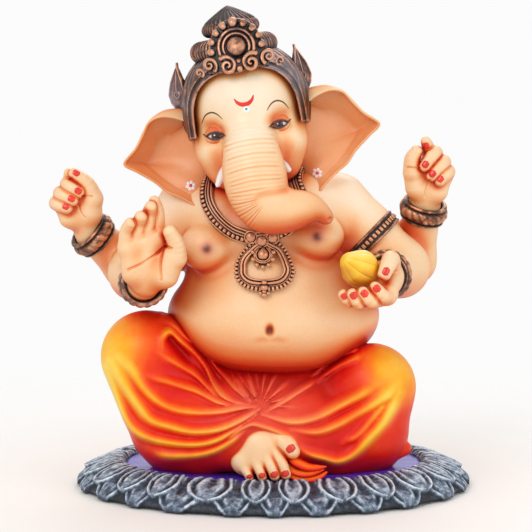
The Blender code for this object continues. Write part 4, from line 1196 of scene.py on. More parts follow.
HANDS = {
    "right_front_hand": {
        "low": (-20.5, -14, 25.0),
        "high": (-9.5, -5.5, 39.5),
        "flesh": (
            (((-16.3, -7.0, 27.2, 2.2), (-15.8, -9.3, 28.0, 2.2)), 0.8),
            (((-15.9, -10.0, 29.2, 2.0), (-15.6, -10.2, 31.8, 1.7)), 1.2),
            (((-17.4, -10.6, 28.9, 1.4), (-17.9, -10.7, 31.6, 1.15)), 1.0),
            (((-13.4, -10.6, 28.6, 1.7), (-12.4, -11.1, 30.9, 1.5)), 1.2),
            (((-18.0, -10.7, 32.1, 1.05), (-14.2, -10.5, 33.2, 1.1)), 0.9),
        ),
        "fingers": (
            ((-18.2, -10.6, 32.4, 1.0), (-18.1, -10.9, 34.0, 0.88), (-17.6, -11.7, 35.1, 0.72)),
            ((-16.8, -10.5, 33.3, 1.02), (-16.6, -10.8, 34.9, 0.94), (-16.3, -11.7, 35.9, 0.78)),
            ((-15.5, -10.3, 33.7, 1.02), (-15.4, -10.5, 36.0, 0.92), (-15.1, -11.3, 37.1, 0.74)),
            ((-14.3, -9.9, 33.6, 1.0), (-14.4, -9.7, 36.4, 0.88), (-14.7, -10.3, 37.7, 0.7)),
            ((-12.1, -11.0, 30.8, 1.45), (-12.0, -11.6, 32.5, 1.12), (-12.7, -12.2, 34.1, 0.86)),
        ),
        "lines": (
            ((-17.9, 29.4), (-16.2, 30.2), (-14.6, 31.2), (-13.3, 32.2), (-12.5, 32.1)),
            ((-13.6, 31.7), (-13.9, 30.0), (-13.8, 28.2)),
        ),
        "nails": (),
        "line_y": -12.0,
        "nail_back": 0.0,
    },
    "left_front_hand": {
        "low": (6.5, -16.5, 23.5),
        "high": (17.5, -5.5, 33.0),
        "flesh": (
            (((14.2, -7.0, 28.2, 2.2), (13.9, -9.2, 28.0, 2.1)), 0.8),
            (((13.4, -9.8, 27.2, 1.9), (11.6, -11.2, 26.2, 1.5)), 1.0),
            (((14.4, -9.6, 28.4, 1.6), (14.0, -12.2, 26.8, 1.3)), 0.9),
            (((13.9, -12.4, 26.1, 1.1), (10.3, -12.0, 25.7, 1.0)), 0.8),
        ),
        "fingers": (
            ((13.9, -12.4, 26.3, 1.0), (13.3, -14.1, 26.4, 0.92), (12.4, -14.3, 27.5, 0.78)),
            ((12.6, -12.4, 25.8, 1.0), (11.9, -14.4, 25.8, 0.9), (10.9, -14.6, 26.9, 0.78)),
            ((11.3, -12.2, 25.6, 0.95), (10.4, -14.1, 25.6, 0.86), (9.6, -14.4, 26.7, 0.74)),
            ((10.1, -12.0, 25.7, 0.88), (9.2, -13.6, 25.8, 0.8), (8.5, -13.9, 26.6, 0.66)),
            ((14.4, -9.8, 29.2, 1.4), (14.4, -11.6, 30.6, 1.15), (14.0, -13.0, 30.1, 1.0), (13.5, -13.7, 29.1, 0.84)),
        ),
        "lines": (),
        "nails": (
            (0, (0.1, -1, 0.1), 0.44, 0.5),
            (1, (0.1, -1, 0.1), 0.44, 0.5),
            (2, (0.0, -1, 0.1), 0.42, 0.48),
            (3, (-0.2, -1, 0.1), 0.36, 0.42),
            (4, (0.2, -1, 0.5), 0.42, 0.55),
        ),
        "line_y": -14.0,
        "nail_back": 0.1,
    },
    "right_rear_hand": {
        "low": (-30.0, -2.5, 31.0),
        "high": (-20.0, 7.5, 42.0),
        "flesh": (
            (((-23.5, 4.0, 32.0, 2.2), (-24.4, 3.2, 34.2, 2.0)), 0.8),
            (((-24.6, 2.9, 35.0, 1.9), (-25.2, 2.6, 37.2, 1.7)), 1.2),
            (((-23.6, 2.0, 35.2, 1.5), (-23.3, 1.7, 37.0, 1.35)), 0.9),
            (((-26.3, 2.2, 34.4, 1.35), (-27.2, 2.3, 36.2, 1.1)), 1.0),
            (((-27.4, 2.3, 36.6, 1.0), (-26.0, 2.4, 38.6, 1.0)), 0.9),
        ),
        "fingers": (
            ((-26.5, 1.9, 38.8, 0.95), (-26.1, 0.8, 38.5, 0.92), (-24.9, 0.5, 37.8, 0.78)),
            ((-27.4, 1.9, 37.6, 0.95), (-27.0, 0.8, 37.4, 0.92), (-25.7, 0.4, 36.8, 0.78)),
            ((-28.0, 2.0, 36.3, 0.92), (-27.5, 0.9, 36.2, 0.88), (-26.4, 0.5, 35.8, 0.74)),
            ((-25.7, 2.5, 38.4, 0.95), (-26.2, 2.0, 39.4, 0.8), (-26.3, 1.7, 40.2, 0.62)),
            ((-23.2, 1.6, 36.9, 1.3), (-23.9, 1.2, 38.8, 1.05), (-25.5, 0.9, 40.2, 0.74)),
        ),
        "lines": (((-25.0, 36.2), (-24.7, 35.2), (-24.2, 34.6)), ((-24.4, 37.4), (-23.2, 37.3))),
        "nails": (
            (0, (0.1, -1, 0.3), 0.42, 0.5),
            (1, (0.1, -1, 0.3), 0.42, 0.5),
            (2, (0.1, -1, 0.3), 0.4, 0.46),
            (4, (0.3, -1, 0.4), 0.4, 0.5),
        ),
        "line_y": 0.0,
        "nail_back": 0.1,
    },
    "left_rear_hand": {
        "low": (15.0, -2.5, 33.5),
        "high": (25.0, 7.5, 46.5),
        "flesh": (
            (((19.5, 4.2, 35.2, 2.2), (19.7, 3.4, 37.3, 2.0)), 0.8),
            (((19.8, 3.0, 38.2, 1.9), (19.9, 2.7, 40.6, 1.7)), 1.2),
            (((18.4, 2.2, 38.4, 1.45), (18.0, 1.9, 40.2, 1.3)), 0.9),
            (((21.2, 2.3, 37.9, 1.3), (21.9, 2.4, 39.6, 1.05)), 1.0),
            (((22.0, 2.4, 40.0, 1.0), (20.8, 2.5, 42.4, 1.0)), 0.9),
        ),
        "fingers": (
            ((20.8, 1.9, 42.8, 0.95), (20.3, 0.8, 42.4, 0.92), (19.4, 0.4, 41.2, 0.76)),
            ((21.9, 1.9, 41.6, 0.95), (21.4, 0.8, 41.2, 0.92), (20.3, 0.4, 40.0, 0.76)),
            ((22.5, 2.0, 40.4, 0.9), (22.1, 0.9, 40.1, 0.86), (21.3, 0.5, 39.3, 0.7)),
            ((20.1, 2.4, 42.4, 0.95), (19.8, 1.7, 43.6, 0.82), (19.5, 1.2, 44.3, 0.66)),
            ((17.9, 1.6, 40.4, 1.25), (17.8, 1.2, 42.0, 1.05), (18.3, 1.0, 43.0, 0.84)),
        ),
        "lines": (((20.0, 39.4), (19.6, 38.3), (19.4, 37.3)), ((17.2, 41.0), (18.6, 40.9))),
        "nails": (
            (0, (-0.1, -1, 0.3), 0.42, 0.5),
            (1, (-0.1, -1, 0.3), 0.42, 0.5),
            (2, (-0.1, -1, 0.3), 0.38, 0.46),
            (3, (-0.3, -1, 0.1), 0.36, 0.42),
        ),
        "line_y": 0.0,
        "nail_back": 0.1,
    },
    "right_foot": {
        "low": (-7.5, -15.0, 2.5),
        "high": (5.0, -6.5, 12.0),
        "flesh": (
            (((-3.4, -8.6, 9.3, 1.9), (-1.6, -10.6, 7.6, 2.2)), 0.8),
            (((-2.2, -10.6, 7.2, 2.2), (-3.4, -10.9, 5.4, 2.0)), 1.2),
            (((-0.6, -11.2, 7.4, 1.6), (-1.4, -11.6, 5.8, 1.6)), 1.2),
        ),
        "fingers": (
            ((-0.1, -11.2, 8.4, 1.1), (1.5, -12.2, 7.7, 1.2), (2.25, -12.5, 6.8, 1.02)),
            ((-0.4, -11.9, 7.6, 0.85), (0.9, -12.9, 5.6, 0.76), (1.5, -13.1, 4.0, 0.68)),
            ((-1.4, -11.9, 7.0, 0.85), (-0.4, -13.0, 5.2, 0.76), (0.15, -13.2, 3.9, 0.68)),
            ((-2.6, -11.8, 6.3, 0.82), (-1.8, -12.9, 4.8, 0.72), (-1.4, -13.1, 3.75, 0.62)),
            ((-4.0, -11.5, 5.4, 0.8), (-3.3, -12.6, 4.3, 0.66), (-2.95, -12.8, 3.55, 0.52)),
        ),
        "lines": (),
        "nails": (
            (0, (0.0, -1, 0.35), 0.58, 0.5),
            (1, (0.0, -1, 0.1), 0.46, 0.42),
            (2, (0.0, -1, 0.1), 0.46, 0.42),
            (3, (0.0, -1, 0.1), 0.4, 0.36),
            (4, (0.0, -1, 0.1), 0.33, 0.3),
        ),
        "line_y": -13.0,
        "nail_back": 0.35,
    },
}


def hand_field(shape):
    fingers = [(curve(f, 3), f) for f in shape["fingers"]]
    lines = [curve(line, 4) for line in shape["lines"]]

    def field(points):
        d = None
        for stations, soft in shape["flesh"]:
            path = [s[:3] for s in stations]
            part = tube(points, path, [s[3] for s in stations])
            d = part if d is None else smooth_min(d, part, soft)
        folded = None
        for path, _ in fingers:
            part = tube(points, path[:, :3], path[:, 3])
            folded = part if folded is None else smooth_min(folded, part, 0.12)
        d = smooth_min(d, folded, 0.35)
        for line in lines:
            best = np.full(len(points), 1e9)
            for a, b in zip(line, line[1:]):
                along = b - a
                flat = points[:, [0, 2]] - a
                t = np.clip(flat @ along / (along @ along), 0, 1)
                best = np.minimum(best, np.linalg.norm(flat - t[:, None] * along, axis=1))
            depth = np.exp(-((points[:, 1] - shape["line_y"]) ** 2) / 2.2)
            d = d + 0.14 * np.exp(-((best / 0.16) ** 2)) * depth
        return smooth_max(d, 2.92 - points[:, 2], 0.1)

    return field


def make_hand(name, skin, polish):
    shape = HANDS[name]
    step = 0.1
    field = hand_field(shape)
    points, quads, normals = sculpt(field, shape["low"], shape["high"], step)
    # Painted shade in the creases of the hand and on surfaces facing down.
    closed = occlusion(lambda p: np.minimum(field(p), figure_field(p)), points, normals, (0.25, 0.6, 1.4))
    under = smoothstep(0.0, -0.9, normals[:, 2])
    masks = {
        "shade": np.clip(1.0 * closed + 0.17 + 0.26 * under, 0, 1),
        "blush": np.zeros(len(points)),
        "spot": np.zeros(len(points)),
    }
    add_piece(f"{name}_skin", points, quads, skin, (name,), normals, masks)
    if not shape["nails"]:
        return
    tree = tree_of(points, quads)
    bundle = Bundle()
    for finger, outward, wide, long in shape["nails"]:
        line = curve(shape["fingers"][finger], 6)
        tip, radius = line[-1, :3], line[-1, 3]
        along = unit(tip - line[-4, :3])
        outward = vec(*outward)
        outward = unit(outward - (outward @ along) * along)
        centre = tip - along * radius * shape["nail_back"] + outward * 2.5
        starts = disc_starts(centre, np.cross(along, outward), along, wide, long, square=3.0)
        bundle.add(*laid(tree, starts, -outward, domed(9, 9, 0.075)))
    bundle.piece(f"{name}_nails", polish, "skin_paint")


# ---------------------------------------------------------------- headdress


def brow_line(x):
    """Height of the cap's front edge over the forehead, dipping a little in the middle."""
    return 6.95 - 0.45 * np.exp(-(((x + 0.2) / 1.5) ** 2))


def face_edge(p):
    """Distance from the cap's front edge, seen from the front; below zero inside the face."""
    x, z = p[:, 0], p[:, 2]
    top = brow_line(x)
    ring = (np.abs(x / 6.55) ** 2.7 + np.abs(np.maximum(z, 0.0) / top) ** 2.7) ** (1 / 2.7)
    return (ring - 1.0) * 6.6


def cap_field(points):
    p = in_head(points)
    local = p - vec(0, 1.2, 2.2)
    shell = ellipsoid(local, (0, 0, 0), (7.9, 8.1, 7.6))
    shell = smooth_min(shell, ellipsoid(p, (0, -2.3, 3.3), (6.3, 5.5, 5.5)), 2.0)
    shell = smooth_min(shell, skull_field(points) - 0.25, 0.5)
    turn = np.arctan2(local[:, 0], -local[:, 1])
    height = local[:, 2] / 7.8
    wave = turn * 34 + 2.2 * np.sin(height * 5.0 + turn * 2.0)
    strands = (0.5 + 0.5 * np.cos(wave)) ** 0.7 * 0.16 + 0.05 * np.cos(wave * 0.5 + 1.0)
    edge = face_edge(p)
    front = smoothstep(1.5, -1.0, p[:, 1])
    band = smoothstep(-0.1, 0.15, edge) * smoothstep(1.15, 0.85, edge)
    rim = 0.3 * np.exp(-(((edge - 0.22) / 0.22) ** 2)) + 0.2 * np.exp(-(((edge - 0.85) / 0.16) ** 2))
    outer = shell - 0.3 - np.where(front > 0, strands * (1 - band * front), strands)
    outer = outer - rim * front
    opening = np.maximum(edge, p[:, 1] + 0.9)
    d = smooth_max(outer, -(shell + 0.35), 0.12)
    d = smooth_max(d, -opening, 0.15)
    nape = -1.3 - p[:, 2] + 0.5 * smoothstep(0.0, -4.0, p[:, 1])
    return smooth_max(d, nape, 0.2)


def make_cap(bronze):
    step = 0.13
    points, quads, normals = sculpt(cap_field, (-14, -11, 42), (8, 12, 60), step)
    add_piece("cap_bronze", points, quads, bronze, ("cap",), normals)


def spiral(centre, outer, turns, start, hand, steps=40):
    """A curl that winds inwards, in the plate's own plane."""
    t = np.linspace(0, 1, steps)
    angle = start + hand * t * turns * math.tau
    radius = outer * (1 - 0.82 * t**0.8)
    return np.stack([centre[0] + radius * np.cos(angle), centre[1] + radius * np.sin(angle)], -1)


def plate_distance(q, path, thick):
    best = np.full(len(q), 1e9)
    radius = np.linspace(thick, thick * 0.7, len(path))
    for k, (a, b) in enumerate(zip(path, path[1:])):
        along = b - a
        flat = q[:, :2] - a
        t = np.clip(flat @ along / (along @ along), 0, 1)
        gap = flat - t[:, None] * along
        d = np.sqrt(gap[:, 0] ** 2 + gap[:, 1] ** 2 + q[:, 2] ** 2) - radius[k]
        best = np.minimum(best, d)
    return best


PLATE = ((0, 6.75), (2.4, 6.8), (4.4, 6.7), (5.2, 7.3), (4.5, 8.8), (3.5, 9.2), (3.5, 10.6), (2.5, 12.3), (0.1, 13.1))
PLATE_BEADS = (
    (-3.05, 9.5, 0.5),
    (-2.85, 10.7, 0.48),
    (-2.15, 11.7, 0.48),
    (-1.15, 12.45, 0.52),
    (0.1, 12.75, 0.64),
    (1.35, 12.45, 0.54),
    (2.35, 11.7, 0.5),
    (3.05, 10.7, 0.48),
    (3.25, 9.6, 0.5),
    (0.15, 8.0, 0.4),
    (0.15, 7.1, 0.46),
)


def make_diadem(bronze):
    """Front plate: domed boss in two rings, an arc of beads, and scrolls along the foot."""
    outline = [vec(*p) for p in PLATE] + [vec(-x, z) for x, z in PLATE[-2:0:-1]]
    curls = []
    for side, x in ((-1, -1.3), (1, 1.65)):
        curls.append((spiral((x, 7.6), 1.2, 1.5, math.pi / 2 - side * 0.6, side), 0.33))
        curls.append((spiral((x + side * 2.25, 8.0), 0.95, 1.35, math.pi / 2 + side * 2.4, -side), 0.27))
        curls.append((spiral((x + side * 3.6, 7.2), 0.55, 1.1, math.pi / 2 + side * 2.4, -side), 0.2))

    def field(points):
        p = in_head(points)
        x, z = p[:, 0], p[:, 2]
        front = -8.3 + 0.36 * (z - 6.5) + 0.08 * x * x
        q = np.stack([x, z, (front - p[:, 1]) * 0.9], -1)
        flat = q[:, :2]
        inside = np.ones(len(q), bool)
        best = np.full(len(q), 1e9)
        for a, b in zip(outline, outline[1:] + outline[:1]):
            along = b - a
            t = np.clip((flat - a) @ along / (along @ along), 0, 1)
            best = np.minimum(best, np.linalg.norm(flat - a - t[:, None] * along, axis=1))
            inside &= (flat[:, 0] - a[0]) * along[1] - (flat[:, 1] - a[1]) * along[0] < 0.35
        across = np.where(inside, -best, best)
        across = np.minimum(across, np.hypot(flat[:, 0] - 0.1, flat[:, 1] - 10.0) - 3.2)
        d = smooth_max(across, np.abs(q[:, 2] + 0.75) - 0.75, 0.15)
        centre = q - vec(0.1, 9.75, 0.0)
        boss = np.linalg.norm(centre / vec(1.25, 1.25, 1.0), axis=1) - 1.0
        d = smooth_min(d, boss * 0.9, 0.05)
        ring = np.hypot(centre[:, 0], centre[:, 1])
        for radius, thick in ((1.62, 0.2), (2.2, 0.24)):
            d = smooth_min(d, np.hypot(ring - radius, q[:, 2] - 0.1) - thick, 0.06)
        for bead_x, bead_z, radius in PLATE_BEADS:
            d = smooth_min(d, np.linalg.norm(q - vec(bead_x, bead_z, 0.12), axis=1) - radius, 0.05)
        raised = q - vec(0, 0, 0.18)
        for path, thick in curls:
            d = smooth_min(d, plate_distance(raised, path, thick), 0.05)
        return d

    low = HEAD_AT + vec(-8, -12, 3)
    high = HEAD_AT + vec(10, 1, 15)
    points, quads, normals = sculpt(field, low, high, 0.1)
    add_piece("diadem_bronze", points, quads, bronze, ("diadem",), normals)


def rope_ring(centre, radius, wide, high, ribs, depth, twist=1.0):
    """Closed ring of twisted hair in the head's frame: its ribs run round it at a slant."""
    count, around = 480, 26
    turn = np.arange(count) * math.tau / count
    path = np.stack([centre[0] + radius * np.cos(turn), centre[1] + radius * np.sin(turn), np.full(count, centre[2])], -1)
    path = path @ HEAD_TURN.T + HEAD_AT
    side, up = frames(path, HEAD_TURN @ vec(0, 0, 1), closed=True)
    across = np.arange(around) * math.tau / around
    phase = turn[:, None] * ribs + twist * across[None]
    groove = 1 - depth * (0.5 - 0.5 * np.cos(phase)) ** 3
    return swept(path, side, up, (wide * groove), (high * groove), closed=True, around=around)


def make_coils(bronze):
    for name, node, shapes in (
        ("lower_hair_coil_bronze", "lower_hair_coil", (((-0.35, 0.6, 9.45), 4.1, 1.5, 1.45, 62, 0.13),)),
        ("upper_hair_coil_bronze", "upper_hair_coil", (((-0.35, 0.6, 12.05), 2.7, 1.0, 0.95, 48, 0.14),)),
    ):
        bundle = Bundle()
        for shape in shapes:
            bundle.add(*rope_ring(*shape))
        bundle.piece(name, bronze, "bronze_paint", (node,))
    rows = []
    segments = 240
    turn = np.arange(segments) * math.tau / segments
    profile = ((2.0, 9.2), (2.2, 10.6), (2.9, 12.0), (3.2, 12.75), (2.7, 13.3), (1.7, 13.95), (0.8, 14.5), (0.3, 14.75), (0.04, 14.85))
    for radius, z in curve(profile, 6):
        ribs = 1 + 0.035 * np.cos(turn * 30 + z * 3.0) * min(1.0, radius)
        rows.append(np.stack([-0.35 + radius * ribs * np.cos(turn), 0.6 + radius * ribs * np.sin(turn), np.full(segments, z)], -1))
    grid = np.array(rows) @ HEAD_TURN.T + HEAD_AT
    bundle = Bundle()
    bundle.add(*stacked(grid))
    bundle.piece("topknot_bronze", bronze, "bronze_paint", ("topknot",))


def stacked(grid):
    """Closed solid from rings, bottom to top, each going round anticlockwise seen from above."""
    rows, segments = grid.shape[:2]
    number = np.arange(rows * segments).reshape(rows, segments)
    after = np.roll(number, -1, 1)
    faces = np.stack([number[:-1], after[:-1], after[1:], number[1:]], -1).reshape(-1, 4)
    faces = [tuple(face) for face in faces]
    points = np.vstack((grid.reshape(-1, 3), grid[0].mean(0), grid[-1].mean(0)))
    bottom, top = len(points) - 2, len(points) - 1
    for k in range(segments):
        faces.append((number[0, (k + 1) % segments], number[0, k], bottom))
        faces.append((number[-1, k], number[-1, (k + 1) % segments], top))
    return points, faces


FINIAL_OUT = {-1: 7.95, 1: 7.35}


def make_finial(side, bronze):
    """Upright leaf over the ear, with a raised rim and a curled heart."""

    def field(points):
        p = (in_head(points) * vec(side, 1, 1) - vec(FINIAL_OUT[side], 0.6, 0.0)) @ turned("Z", -48)
        up = (p[:, 2] - 3.0) / 5.5
        width = np.interp(up, (-0.05, 0.12, 0.32, 0.6, 0.85, 1.0), (0.7, 1.35, 1.6, 1.15, 0.5, 0.05))
        lean = 0.35 * np.sin(np.clip(up, 0, 1) * math.pi) - 0.25 * up
        across = np.abs(p[:, 1]) - width
        thick = 0.42 * np.clip(1.1 - up, 0.12, 1) + 0.1
        d = smooth_max(across * 0.75, np.abs(p[:, 0] - lean) - thick, 0.25)
        d = smooth_max(d, np.maximum(-0.1 - up, up - 1.03) * 5.5, 0.1)
        rim = np.exp(-(((across + 0.22) / 0.13) ** 2))
        vein = np.exp(-((p[:, 1] / 0.14) ** 2)) * smoothstep(0.25, 0.4, up)
        curl = np.linalg.norm((p[:, 1:] - vec(0, 4.7)) / vec(0.55, 0.55), axis=1)
        heart = np.exp(-(((curl - 0.75) / 0.25) ** 2)) * 0.8
        return d - 0.15 * np.maximum(rim, np.maximum(vein, heart)) + 0.05

    centre = HEAD_AT + HEAD_TURN @ vec(side * (FINIAL_OUT[side] + 0.25), 1.0, 5.6)
    points, quads, normals = sculpt(field, centre - vec(2.2, 2.4, 3.8), centre + vec(2.2, 2.4, 3.8), 0.09)
    name = "left_ear_finial" if side > 0 else "right_ear_finial"
    add_piece(f"{name}_bronze", points, quads, bronze, (name,), normals)


# ---------------------------------------------------------------- jewellery

NECK_LOOP = (
    (-2.1, -8.1, 32.9),
    (-5.8, -7.5, 34.2),
    (-8.2, -5.5, 37.0),
    (-7.5, -0.4, 39.9),
    (-5.6, 5.6, 41.0),
    (-2.0, 7.8, 41.2),
    (1.4, 5.6, 41.2),
    (2.8, 0.6, 40.9),
    (2.8, -3.7, 39.1),
    (3.4, -5.8, 36.8),
    (1.9, -7.4, 34.3),
)


def evenly(path, gap, closed=True):
    """The path resampled at an even gap."""
    line = np.vstack((path, path[:1])) if closed else path
    run = np.concatenate(((0.0,), np.cumsum(np.linalg.norm(np.diff(line, axis=0), axis=1))))
    count = max(2, int(round(run[-1] / gap)))
    at = np.linspace(0, run[-1], count, endpoint=not closed)
    return np.stack([np.interp(at, run, line[:, k]) for k in range(3)], -1)


def on_body(path, height):
    """The path moved to a set height over the torso, with the torso's normals there."""
    for _ in range(4):
        normals = unit(slope(torso_field, path, 0.15))
        path = path + normals * (height - evaluate(torso_field, path))[:, None]
    return path, unit(slope(torso_field, path, 0.3))


def make_necklace(bronze):
    path, normals = on_body(evenly(curve(NECK_LOOP, 10, closed=True), 0.25), 0.35)
    side, up = frames(path, normals, closed=True)
    middle = path.mean(0)
    if ((path - middle) * side).sum() < 0:
        side = -side
    bundle = Bundle()

    def strand(offset, lift, wide, high):
        line = path + side * offset + up * lift
        own_side, own_up = frames(line, up, closed=True)
        bundle.add(*swept(line, own_side, own_up, wide, high, closed=True, around=12))

    strand(-0.02, -0.1, 0.85, 0.3)
    strand(-0.66, 0.12, 0.17, 0.24)
    strand(-0.28, 0.2, 0.15, 0.2)
    strand(0.06, 0.18, 0.13, 0.18)
    strand(0.86, 0.02, 0.12, 0.2)
    line = evenly(path + side * 0.5 + up * 0.2, 0.62)
    beads_up = unit(slope(torso_field, line, 0.3))
    beads_side, beads_up = frames(line, beads_up, closed=True)
    for centre, out, top in zip(line, beads_side, beads_up):
        forward = np.cross(out, top)
        bundle.add(*orb(centre, (0.27, 0.24, 0.26), (out, forward, top), around=12, square=3.2))
    for x, z, size in ((-2.9, 33.0, 0.62), (-1.5, 32.55, 0.66), (-0.1, 32.9, 0.62)):
        spot, up_here = on_body(np.array([(x, -8.5, z)]), 0.75)
        across = unit(np.cross(up_here[0], vec(0, 0, 1)))
        axes = (across, np.cross(up_here[0], across), up_here[0])
        bundle.add(*orb(spot[0], (size, size, 0.42), axes, around=24))
        turn = np.arange(40) * math.tau / 40
        ring = spot[0] + np.outer(np.cos(turn), axes[0]) * (size + 0.12) + np.outer(np.sin(turn), axes[1]) * (size + 0.12)
        ring = ring - up_here[0] * 0.12
        own_side, own_up = frames(ring, up_here[0], closed=True)
        bundle.add(*swept(ring, own_side, own_up, 0.14, 0.16, closed=True, around=10))
    bundle.piece("necklace_bronze", bronze, "bronze_paint", ("necklace",))


PENDANT = (
    (-1.1, 27.15),
    (-3.0, 27.45),
    (-4.15, 28.45),
    (-4.35, 29.75),
    (-3.8, 31.0),
    (-2.75, 32.1),
    (-1.3, 32.7),
    (0.35, 32.2),
    (1.35, 31.1),
    (2.0, 29.8),
    (1.8, 28.5),
    (0.8, 27.45),
)


def make_pendant(bronze):
    stations = [(x, -9.6, z) for x, z in PENDANT]
    path, normals = on_body(evenly(curve(stations, 8, closed=True), 0.16), 0.45)
    side, up = frames(path, normals, closed=True)
    middle = path.mean(0)
    if ((path - middle) * side).sum() < 0:
        side = -side
    low = smoothstep(33.0, 28.0, path[:, 2])
    bundle = Bundle()

    def strand(offset, lift, wide, high):
        line = path + side * (offset * (0.72 + 0.28 * low))[:, None] + up * lift
        own_side, own_up = frames(line, up, closed=True)
        bundle.add(*swept(line, own_side, own_up, wide, high, closed=True, around=12))

    strand(0.0, -0.1, 0.68, 0.28)
    strand(-0.56, 0.12, 0.18, 0.24)
    strand(-0.14, 0.2, 0.2, 0.26)
    strand(0.2, 0.1, 0.1, 0.16)
    ribbed = evenly(path + side * (0.56 * (0.72 + 0.28 * low))[:, None] + up * 0.14, 0.52)
    ribs_up = unit(slope(torso_field, ribbed, 0.3))
    ribs_side, ribs_up = frames(ribbed, ribs_up, closed=True)
    for centre, out, top in zip(ribbed, ribs_side, ribs_up):
        grow = 0.72 + 0.28 * smoothstep(33.0, 28.0, centre[2])
        bundle.add(*orb(centre, (0.36 * grow, 0.21, 0.28), (out, np.cross(out, top), top), around=12, square=2.6))
    for x, z, size, lift in (
        (-1.15, 27.5, 0.36, 0.95),
        (-1.15, 26.85, 0.52, 0.75),
        (-1.6, 26.2, 0.36, 0.5),
        (-0.7, 26.2, 0.36, 0.5),
        (-1.15, 25.95, 0.42, 0.5),
        (-1.15, 26.35, 0.3, 0.75),
    ):
        spot, up_here = on_body(np.array([(x, -10.0, z)]), lift)
        bundle.add(*orb(spot[0], (size, size, size * 0.8), around=18))
    bundle.piece("pendant_ring_bronze", bronze, "bronze_paint", ("pendant_ring",))

    bundle = Bundle()
    centre, up_here = on_body(np.array([(-1.35, -9.0, 31.1)]), 0.72)
    centre, out = centre[0], up_here[0]
    across = unit(np.cross(out, vec(0, 0, 1)))
    tall = np.cross(across, out)
    turn = np.arange(64) * math.tau / 64
    radius = 0.62 + 0.10 * np.cos(turn * 2)
    pull = np.maximum(np.sin(turn), 0) ** 5 * 0.35

    def loop(scale):
        return (
            centre
            + np.outer(radius * scale * np.cos(turn), across) * 0.95
            + np.outer((radius * scale + pull * scale) * np.sin(turn), tall) * 1.25
        )

    rings = [loop(scale) + out * lift for scale, lift in ((1.0, -0.35), (1.0, 0.0), (0.86, 0.22), (0.5, 0.38), (0.1, 0.44))]
    if np.cross(across, tall) @ out < 0:
        rings = [ring[::-1] for ring in rings]
    bundle.add(*stacked(np.array(rings)))
    for scale, thick in ((1.28, 0.13), (1.6, 0.11)):
        ring = loop(scale) - out * 0.08
        own_side, own_up = frames(ring, out, closed=True)
        bundle.add(*swept(ring, own_side, own_up, thick, thick, closed=True, around=10))
    for k in range(7):
        angle = math.radians(-90 + (k - 3) * 34)
        spot = centre + across * math.cos(angle) * 1.32 + tall * math.sin(angle) * 1.62 - out * 0.05
        bundle.add(*orb(spot, (0.3, 0.3, 0.24), (across, tall, np.cross(across, tall)), around=14))
    back = centre - out * 0.5
    bundle.add(*orb(back, (1.15, 1.35, 0.45), (across, tall, np.cross(across, tall)), around=24))
    bundle.piece("pendant_drop_bronze", bronze, "bronze_paint", ("pendant_drop",))


def ring_frame(axis):
    axis = unit(vec(*axis))
    side = unit(np.cross(axis, vec(0.3, 0.1, 1.0)))
    return axis, side, np.cross(axis, side)


def make_bangle(name, centre, axis, radius, bronze, studs=False):
    """Band between two rims, with slanting lozenge ribs or rows of square studs."""
    axis, side, up = ring_frame(axis)
    centre = vec(*centre)
    count = 400
    turn = np.arange(count) * math.tau / count
    out = np.outer(np.cos(turn), side) + np.outer(np.sin(turn), up)
    bundle = Bundle()
    axes = np.broadcast_to(axis, out.shape)
    reach = 0.72 if studs else 1.05
    for share, wide, high in ((-1, 0.22, 0.34), (1, 0.22, 0.34), (-0.72, 0.1, 0.26), (0.72, 0.1, 0.26)):
        path = centre + out * radius + axis * share * reach
        bundle.add(*swept(path, axes, out, wide, high, closed=True, around=12))
    path = centre + out * radius
    if not studs:
        around = 20
        across = np.arange(around) * math.tau / around
        phase = turn[:, None] * 9 + 1.3 * np.cos(across)[None]
        ribs = 0.68 + 0.32 * np.abs(np.cos(phase)) ** 0.7
        bundle.add(*swept(path, axes, out, np.full((count, around), 0.82), 0.66 * ribs, closed=True, around=around))
    else:
        bundle.add(*swept(path, axes, out, 0.6, 0.2, closed=True, around=16, square=4.0))
        number = int(math.tau * radius / 0.6)
        for k in range(number):
            angle = math.tau * k / number
            outward = side * math.cos(angle) + up * math.sin(angle)
            spot = centre + outward * (radius + 0.2)
            axes_here = (axis, np.cross(outward, axis), outward)
            bundle.add(*orb(spot, (0.32, 0.24, 0.2), axes_here, around=12, square=4.0))
    bundle.piece(f"{name}_bronze", bronze, "bronze_paint", (name,))


def make_bangles(bronze):
    for name, stations in ARMS.items():
        elbow, wrist = vec(*stations[-2][:3]), vec(*stations[-1][:3])
        make_bangle(name.replace("arm", "bangle"), wrist, wrist - elbow, 2.55, bronze)
    for name, arm in (("right_armlet", "right_front_arm"), ("left_armlet", "left_front_arm")):
        upper, elbow = vec(*ARMS[arm][1][:3]), vec(*ARMS[arm][2][:3])
        radius = ARMS[arm][1][3] + 0.22
        make_bangle(name, upper + (elbow - upper) * 0.15, elbow - upper, radius, bronze, studs=True)


